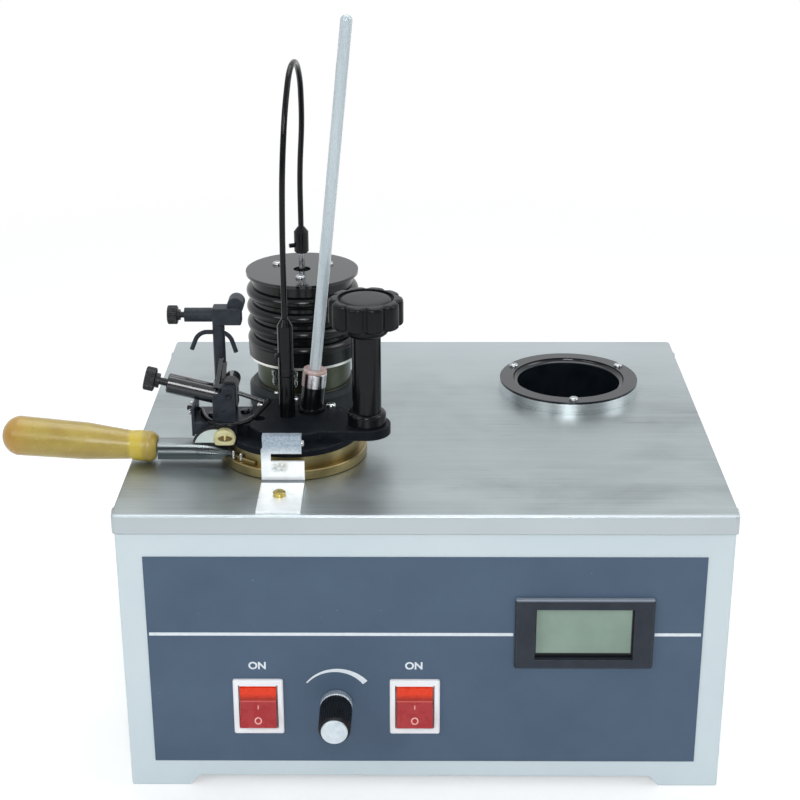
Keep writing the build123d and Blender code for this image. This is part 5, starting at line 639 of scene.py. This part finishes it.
def flutes(count, depth):
    """Rounded grooves side by side round a grip."""
    return lambda angle: depth * (0.5 - 0.5 * cos(count * angle)) ** 1.5


def notches(count, depth, half, turn=0.0):
    """Narrow rounded notches with nearly round lobes between them."""
    pitch = 2 * pi / count
    lobe_height = 0.35

    def wave(angle):
        offset = (angle - turn + pitch / 2) % pitch - pitch / 2
        lobe = 0.5 - 0.5 * cos(2 * pi * offset / pitch + pi)
        return depth * exp(-(offset / half) ** 2) + lobe_height * lobe
    return wave


def box_outline(left, right, low, top):
    return [(left, low), (right, low), (right, top), (left, top)]


def ring_outline(inner, outer, steps):
    """A band between two radii, as one outline that meets itself."""
    angles = [radians(360.0 * i / steps) for i in range(steps + 1)]
    outside = [(outer * cos(a), outer * sin(a)) for a in angles]
    inside = [(inner * cos(a), inner * sin(a)) for a in reversed(angles)]
    return outside + inside


def on_circle(centre, radius, angle, height):
    """A place round an upright axis, its angle in degrees from the right."""
    return (centre[0] + radius * cos(radians(angle)), centre[1] + radius * sin(radians(angle)), height)


def panel_print():
    """The white line, the words over the switches and the swelling arc over the knob."""
    thick, look = 0.06, ("print_white", "base", "panel_blue")
    for name, left, right in (("panel_line_left", -157.6, 50.6), ("panel_line_right", 131.2, 157.6)):
        outline = box_outline(left, right, -1.0, 1.0)
        flat_piece(name, [outline], (0, PRINT_PLANE, 102.3), RIGHT, UP, thick, *look)
    for name, x in (("word_on_left", -96.4), ("word_on_right", -6.1)):
        words(name, "ON", 6.5, (x, PRINT_PLANE - 0.05, 81.4), RIGHT, UP, *look, weight=0.2)
    # the arc is a band that grows from left to right, in short quads
    steps, start, sweep, middle = 48, 142.0, 103.0, 21.6
    quads = []
    for i in range(steps):
        corners = []
        for step, side in ((i, -1), (i + 1, -1), (i + 1, 1), (i, 1)):
            share = step / steps
            angle = radians(start - share * sweep)
            half = 0.35 + 1.35 * share
            radius = middle + side * half
            corners.append((radius * cos(angle), radius * sin(angle)))
        quads.append(corners)
    flat_piece("heat_arc", quads, (-51.1, PRINT_PLANE, 56.9), RIGHT, UP, thick, *look)


def rocker_marks():
    """I and O on the lower face of each rocker."""
    fold = Vector((0, -143.8, 59.39))
    foot = Vector((0, -148.67, 44.39))
    down = (foot - fold).normalized()
    out = Vector(RIGHT).cross(-down)
    bar, ring = box_outline(-0.3, 0.3, -1.2, 1.2), ring_outline(1.45, 2.15, 36)
    for name, x in SWITCHES:
        for mark, outline, drop in (("on", bar, 3.6), ("off", ring, 11.6)):
            place = fold + down * drop + out * 0.02 + Vector((x, 0, 0))
            flat_piece("%s_mark_%s" % (name, mark), [outline], place, RIGHT, -down, 0.06, "mark_pink",
                       name + "_switch", "rocker_red")


def operating_lobes():
    """The ten-lobed knob on the column, with a sunk ring round its domed middle."""
    profile = [(0.0, 4.0), (0.0, 9.4), (0.5, 11.2), (1.6, 12.6), (2.8, 13.2), (6.2, 13.2),
               (6.4, 14.5, 0.1), (6.5, 19.8, 1), (6.8, 20.9, 1), (7.6, 21.6, 1), (8.8, 21.8, 1),
               (19.6, 21.8, 1), (21.0, 21.6, 1), (21.8, 21.1, 1),
               (22.25, 20.3, 1), (22.4, 19.2, 0.9), (22.4, 16.7, 0.05),
               (22.2, 16.4), (20.9, 16.3), (20.9, 15.5), (21.3, 15.1), (22.0, 13.7), (22.1, 13.0),
               (22.25, 9.0), (22.35, 4.0), (22.38, 0.4)]
    knob = turned("knob_lobes", profile, (-34.0, -62.4, 256.0), UP, "knob_black", "knob", "black_plastic",
                  notches(10, 2.1, radians(5.5), radians(-90)), 240)
    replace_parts(knob, "operating_knob")


def thumb_screws():
    """The two knurled screws: one ends the burner, the other shuts the pilot flame's valve."""
    tilt = radians(13.8)
    burner = turned("burner_screw_knurled",
                    [(23.3, 1.0), (23.3, 2.2), (41.8, 2.2), (41.9, 4.4), (44.2, 4.4), (44.3, 6.1),
                     (44.9, 7.1, 1), (50.0, 7.1, 1), (50.65, 6.4, 0.4), (50.7, 4.0), (50.3, 3.4), (50.3, 0.4)],
                    (-115.9, -57.0, 214.9), (-cos(tilt), 0, sin(tilt)), "knurled_black", "burner_screw",
                    "dark_steel", flutes(36, 0.4), 216)
    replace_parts(burner, "burner_thumb_screw")
    pilot = turned("pilot_screw_knurled",
                   [(0.0, 0.6), (0.0, 1.8), (12.4, 1.8), (12.5, 3.2), (14.0, 3.2), (14.05, 4.8), (14.6, 5.6, 1),
                    (19.4, 5.6, 1), (19.95, 5.0, 0.4), (20.0, 3.0), (19.6, 2.6), (19.6, 0.4)],
                   (-131.2, -46.0, 262.4), LEFT, "knurled_black", "pilot_screw", "dark_steel",
                   flutes(30, 0.35), 180)
    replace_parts(pilot, "pilot_thumb_screw")


def heat_control():
    """The fluted knob on the panel, on a bright collar."""
    centre = (-51.1, -141.7, 56.5)
    knob = turned("heat_knob_fluted",
                  [(5.2, 4.0), (5.2, 9.0, 0.3), (5.6, 9.4, 1), (6.6, 9.5, 1), (27.6, 9.2, 1), (28.7, 8.8, 0.9),
                   (29.2, 8.0, 0.2), (29.2, 2.0)], centre, FRONT, "black_plastic", "heat_control",
                  "black_plastic", flutes(36, 0.45), 216)
    collar = turned("heat_knob_collar",
                    [(0.0, 4.0), (0.0, 9.3), (0.4, 9.5), (4.6, 9.5), (5.15, 9.1), (5.2, 4.0)],
                    centre, FRONT, "cap_aluminium", "heat_control", "cap_aluminium")
    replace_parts(knob, "heat_knob")
    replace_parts(collar, "heat_knob")


def gauge():
    """The cream boss in front of the white disc, with a lens-shaped recess and a brass pin in it; the recess is
    a flat brown sheet of painted shade.
    """
    boss = turned("gauge_boss_domed",
                  [(0.0, 2.0), (0.0, 6.5), (2.4, 6.45), (3.2, 6.1), (3.7, 5.2), (3.9, 4.0), (3.95, 0.4)],
                  (-117.5, -72.8, 195.0), FRONT, "boss_cream", "cover", "boss_cream",
                  cut=((0, 0, 191.9), (0, 0, -1)))
    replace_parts(boss, "gauge_boss")
    # painted shade: the recess is drawn as a flat brown sheet on the boss's front
    lens = [(4.3 * cos(radians(a)), 1.9 * sin(radians(a)) + (0.0 if a <= 180 else 0.15))
            for a in range(0, 360, 12)]
    flat_piece("gauge_recess", [lens], (-117.0, -76.72, 196.0), RIGHT, UP, 0.08, "recess_shade_brown", "cover",
               "boss_cream")
    turned("gauge_pin", [(0.0, 0.3), (0.0, 0.75), (2.2, 0.75), (2.6, 0.5), (2.7, 0.1)],
           (-117.0, -77.1, 195.3), UP, "gold_screw", "cover", "boss_cream", steps=24)


def cup_handle():
    """The handle's flat bar, pressed down where it meets the cup, with its strap and two studs."""
    # the bar's place along X, its top, its bottom and how far forward it comes
    stations = [(-157.8, 190.9, 180.4, -73.0), (-148.0, 190.9, 180.3, -73.0), (-138.0, 190.7, 180.3, -73.0),
                (-130.0, 190.1, 180.3, -73.0), (-124.5, 189.2, 180.3, -73.0), (-120.5, 188.2, 180.4, -73.0),
                (-117.5, 187.2, 183.0, -73.0), (-115.4, 186.4, 183.7, -73.2), (-113.6, 185.6, 183.7, -74.0),
                (-112.0, 184.9, 183.7, -75.8), (-110.8, 184.3, 183.7, -77.2)]
    rings = []
    for x, top, bottom, front in stations:
        tall = top - bottom
        outline = [(-61.8, 0.0), (front + 1.8, 0.0), (front + 0.5, 0.08), (front + 0.5, 0.42), (front, 0.5),
                   (front + 0.2, 0.56), (front + 1.4, 0.64), (front + 0.9, 0.82), (front + 1.6, 0.94),
                   (front + 3.2, 1.0), (-63.0, 1.0), (-61.2, 0.9), (-61.0, 0.1)]
        rings.append([(x, y, bottom + share * tall) for y, share in outline])
    bar = lofted("handle_bar_pressed", rings, "bar_steel", "cup")
    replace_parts(bar, "cup_handle_bar")
    section = ((39.6, 183.6), (41.4, 183.6), (41.6, 185.6), (41.1, 186.1), (39.6, 186.1))
    steps, start, sweep = 30, 204.0, 36.0
    rings = [[on_circle(STOVE, radius, start + sweep * i / steps, z) for radius, z in section]
             for i in range(steps + 1)]
    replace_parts(lofted("handle_strap", rings, "cup_brass", "cup"), "cup_handle_bar")
    tang = turned("handle_tang", [(0.0, 0.5), (0.0, 3.0), (11.0, 3.0), (11.0, 0.5)],
                  (-169.0, -67.0, 187.7), (1, 0, -0.0892), "bar_steel", "cup", "bracket_steel", steps=32)
    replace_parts(tang, "cup_handle_bar")
    for name, x, y, tall in (("handle_stud_1", -112.3, -77.2, 5.0), ("handle_stud_2", -107.6, -80.3, 4.6)):
        stud = turned(name, [(0.0, 0.4), (0.0, 1.0), (tall - 0.6, 1.0), (tall - 0.1, 0.7), (tall, 0.2)],
                      (x, y, 183.8), UP, "screw_steel", "cup", "screw_steel", steps=28)
        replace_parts(stud, "cup_handle_bar")


def bracket_details():
    """The burner's front plate with its sunk screw, and the small screws beside it."""
    front, thick = -64.7, 1.4
    outline = [(-124.8, 202.1), (-111.6, 202.1), (-111.6, 222.2), (-113.0, 224.0), (-118.6, 224.0),
               (-119.4, 220.6), (-124.0, 219.2), (-124.8, 218.4)]
    flat_piece("burner_front_plate", [outline], (0, front, 0), RIGHT, UP, thick, "bracket_grey", "cover",
               "satin_black")
    turned("burner_plate_screw",
           [(0.0, 0.3), (0.0, 2.1), (0.25, 1.9), (0.3, 1.5), (0.12, 1.2), (0.1, 0.2)],
           (-115.2, front - thick, 218.3), FRONT, "black_plastic", "cover", "screw_steel", steps=36)
    for name, place, radius in (("bracket_left_screw", (-137.4, -58.0, 205.6), 1.7),
                                ("bracket_upper_screw", (-137.4, -49.0, 207.6), 1.0)):
        turned(name, [(0.0, 0.3), (0.0, 0.7), (1.4, 0.7), (1.5, radius), (2.3, radius),
                      (2.9, radius * 0.6), (3.0, 0.2)], place, LEFT, "screw_steel", "cover", "screw_steel",
               steps=36)


def motor_fittings():
    """Bright terminals on the front of the motor's neck, and small screws below them."""
    look = ("screw_steel", "base", "screw_steel")
    for name, x, y, low, top, radius in (("neck_terminal_left", -94.3, 9.0, 196.6, 207.0, 1.6),
                                         ("neck_terminal_right", -80.4, 3.6, 197.2, 208.0, 1.2)):
        waist, head = radius * 0.7, radius * 1.1
        turned(name, [(low, 0.4), (low, radius * 0.6), (low + 1.2, waist), (low + 1.6, radius),
                      (low + 4.0, radius), (low + 4.4, waist), (top - 4.0, waist), (top - 3.6, head),
                      (top - 0.6, head), (top, waist), (top, 0.3)], (x, y, 0), UP, *look, steps=28)
    turned("motor_base_screw", [(0.0, 0.3), (0.0, 1.6), (0.7, 1.4), (1.3, 0.9), (1.5, 0.2)],
           (-93.2, 7.0, 191.7), UP, *look, steps=32)
    turned("motor_side_screw", [(0.0, 0.3), (0.0, 1.7), (0.6, 1.5), (1.1, 0.9), (1.3, 0.2)],
           (-80.3, -1.3, 183.6), FRONT, *look, steps=32)


def screw_crosses():
    """The crosses sunk in the round screw heads: black blocks, their black a painted shade of the hollow cross.
    """
    heads = [(on_circle(WELL, 40.2, a, 187.3), UP, "base") for a in (30, 150, 270)]
    heads += [(on_circle(MOTOR, 19, a, 267.3), UP, "base") for a in (150, 270, 30)]
    heads += [((x, y, 202.4), UP, "cover") for x, y in ((-56.6, -36.5), (-98.5, -36.5), (-80.0, -26.5))]
    heads += [((x * 176.9, y * 126.0, 172.0), (x, 0, 0), "base") for x in (-1, 1) for y in (-1, 1)]
    arm, half_width, proud, sunk, roundness = 1.45, 0.26, 0.03, 0.4, 0.155
    for number, (top, out, body) in enumerate(heads):
        out = Vector(out)
        side = out.cross(Vector((0, 1, 0))).normalized()
        other = out.cross(side)
        turn = radians(25 + 37 * number)
        for letter, first, second in (("a", side, other), ("b", other, -side)):
            along = first * cos(turn) + second * sin(turn)
            across = out.cross(along) * half_width
            rings = []
            for share in (-1.0, -0.6, -0.2, 0.2, 0.6, 1.0):
                reach = arm * share
                centre = Vector(top) + along * reach - out * (roundness * reach * reach)
                rings.append([centre + across + out * proud, centre - across + out * proud,
                              centre - across - out * sunk, centre + across - out * sunk])
            lofted("screw_cross_%02d%s" % (number + 1, letter), rings, "black_plastic", body)


def switch_gaps():
    """Painted shadow: a dark strip at each side of a rocker, in the gap where it goes into its frame."""
    wide, gap, low, top = 10.9, 0.5, 41.2, 69.7
    for name, x in SWITCHES:
        for part, inner in (("left", -wide - gap), ("right", wide)):
            flat_piece("%s_gap_%s" % (name, part), [box_outline(inner, inner + gap, low, top)], (x, -143.35, 0),
                       RIGHT, UP, 0.08, "black_plastic", "base", "switch_frame")


def thermometer_rim():
    """The clear pink sleeve that stands out of the ferrule."""
    tilt = radians(6.0)
    turned("thermometer_sleeve", [(24.6, 4.2), (24.6, 6.9), (26.2, 7.1), (26.9, 6.7), (27.0, 4.4), (26.2, 3.7)],
           (-68.1, -42.9, 200.5), (sin(tilt), 0, cos(tilt)), "clear_pink", "thermometer_body", "thermo_glass",
           steps=64)


panel_print()
rocker_marks()
operating_lobes()
thumb_screws()
heat_control()
gauge()
cup_handle()
bracket_details()
motor_fittings()
screw_crosses()
switch_gaps()
thermometer_rim()


# ---------------------------------------------------------------- floor and light
def stage_floor():
    """A pale floor that runs out of sight; it stays white to the camera and keeps the shadow."""
    mesh = bpy.data.meshes.new("floor")
    made = bmesh.new()
    reach, below = 14.0, -0.0002
    corners = [(-reach, -reach), (reach, -reach), (reach, reach), (-reach, reach)]
    made.faces.new([made.verts.new((x, y, below)) for x, y in corners])
    made.to_mesh(mesh)
    made.free()
    floor = bpy.data.objects.new("floor", mesh)
    bpy.context.scene.collection.objects.link(floor)
    shader = Shader("floor")
    shader.set(rough=0.9, specular=0.0)
    cloud = shader.ramp(shader.noise(3.0), 0.3, 0.7)
    shader.link(shader.mix(cloud, rgb(228, 229, 230), rgb(232, 233, 234)), shader.main.inputs["Base Color"])
    path = shader.add("ShaderNodeLightPath")
    glow = shader.add("ShaderNodeEmission")
    glow.inputs["Color"].default_value = (1, 1, 1, 1)
    seen = shader.maths("MAXIMUM", path.outputs["Is Camera Ray"],
                        shader.maths("MAXIMUM", path.outputs["Is Glossy Ray"],
                                     path.outputs["Is Transmission Ray"]))
    lift = 0.36
    shader.link(shader.maths("MULTIPLY", seen, lift), glow.inputs["Strength"])
    both = shader.add("ShaderNodeAddShader")
    shader.link(shader.main.outputs[0], both.inputs[0])
    shader.link(glow.outputs[0], both.inputs[1])
    # away from the object the floor is plain white, so it meets the room without an edge
    far = shader.add("ShaderNodeVectorMath", operation="LENGTH")
    shader.link(shader.place, far.inputs[0])
    bright = shader.add("ShaderNodeEmission")
    shader.link(shader.maths("MAXIMUM", seen, LIT), bright.inputs["Strength"])
    fade = shader.add("ShaderNodeMixShader")
    shader.link(shader.ramp(far.outputs["Value"], 0.45, 1.3), fade.inputs[0])
    shader.link(both.outputs[0], fade.inputs[1])
    shader.link(bright.outputs[0], fade.inputs[2])
    output = next(node for node in shader.tree.nodes if node.type == "OUTPUT_MATERIAL")
    shader.link(fade.outputs[0], output.inputs["Surface"])
    mesh.materials.append(shader.material)


def light_room():
    """A white room to what is seen or mirrored, a softer one to what is lit, and large soft lamps."""
    world = bpy.data.worlds.new("room")
    bpy.context.scene.world = world
    world.use_nodes = True
    room = Nodes(world.node_tree)
    background = room.tree.nodes["Background"]
    background.inputs["Color"].default_value = (0.97, 0.985, 1.0, 1.0)
    path = room.add("ShaderNodeLightPath")
    # what shines is brightest behind and above the instrument, and dim in front of it
    place = room.add("ShaderNodeTexCoord")
    parts = room.add("ShaderNodeSeparateXYZ")
    room.link(place.outputs["Generated"], parts.inputs[0])
    tilt = room.maths("ADD", parts.outputs[1], room.maths("MULTIPLY", parts.outputs[2], 0.9))
    shade = room.ramp(tilt, -0.75, 0.85, 0.22, 1.0, "SMOOTHSTEP")
    seen = room.maths("MAXIMUM", path.outputs["Is Camera Ray"], path.outputs["Is Transmission Ray"])
    shone = room.maths("MULTIPLY", path.outputs["Is Glossy Ray"], shade)
    lit = room.maths("MULTIPLY", path.outputs["Is Diffuse Ray"], LIT)
    room.link(room.maths("MAXIMUM", room.maths("MAXIMUM", seen, shone), lit), background.inputs["Strength"])
    # each lamp's place, what it is aimed at, the side of its square, and its power
    lamps = (
        ("front_lamp", (0.0, -1.55, 1.0), (0.0, 0.0, 0.12), 0.5, 9.5),
        ("left_lamp", (-1.3, -1.17, 1.1), (0.0, 0.0, 0.15), 0.8, 7.0),
        ("right_lamp", (1.6, -0.2, 1.2), (0.0, 0.0, 0.15), 0.9, 8.0),
        ("top_lamp", (0.0, 0.5, 1.9), (0.0, 0.0, 0.1), 1.3, 14.0),
    )
    for name, spot, aim, size, power in lamps:
        data = bpy.data.lights.new(name, "AREA")
        data.shape = "SQUARE"
        data.size = size
        data.energy = power
        lamp = bpy.data.objects.new(name, data)
        lamp.location = spot
        lamp.rotation_mode = "QUATERNION"
        lamp.rotation_quaternion = (Vector(aim) - Vector(spot)).to_track_quat("-Z", "Y")
        bpy.context.scene.collection.objects.link(lamp)
    bpy.context.scene.view_settings.view_transform = "Standard"


place_camera()
stage_floor()
light_room()
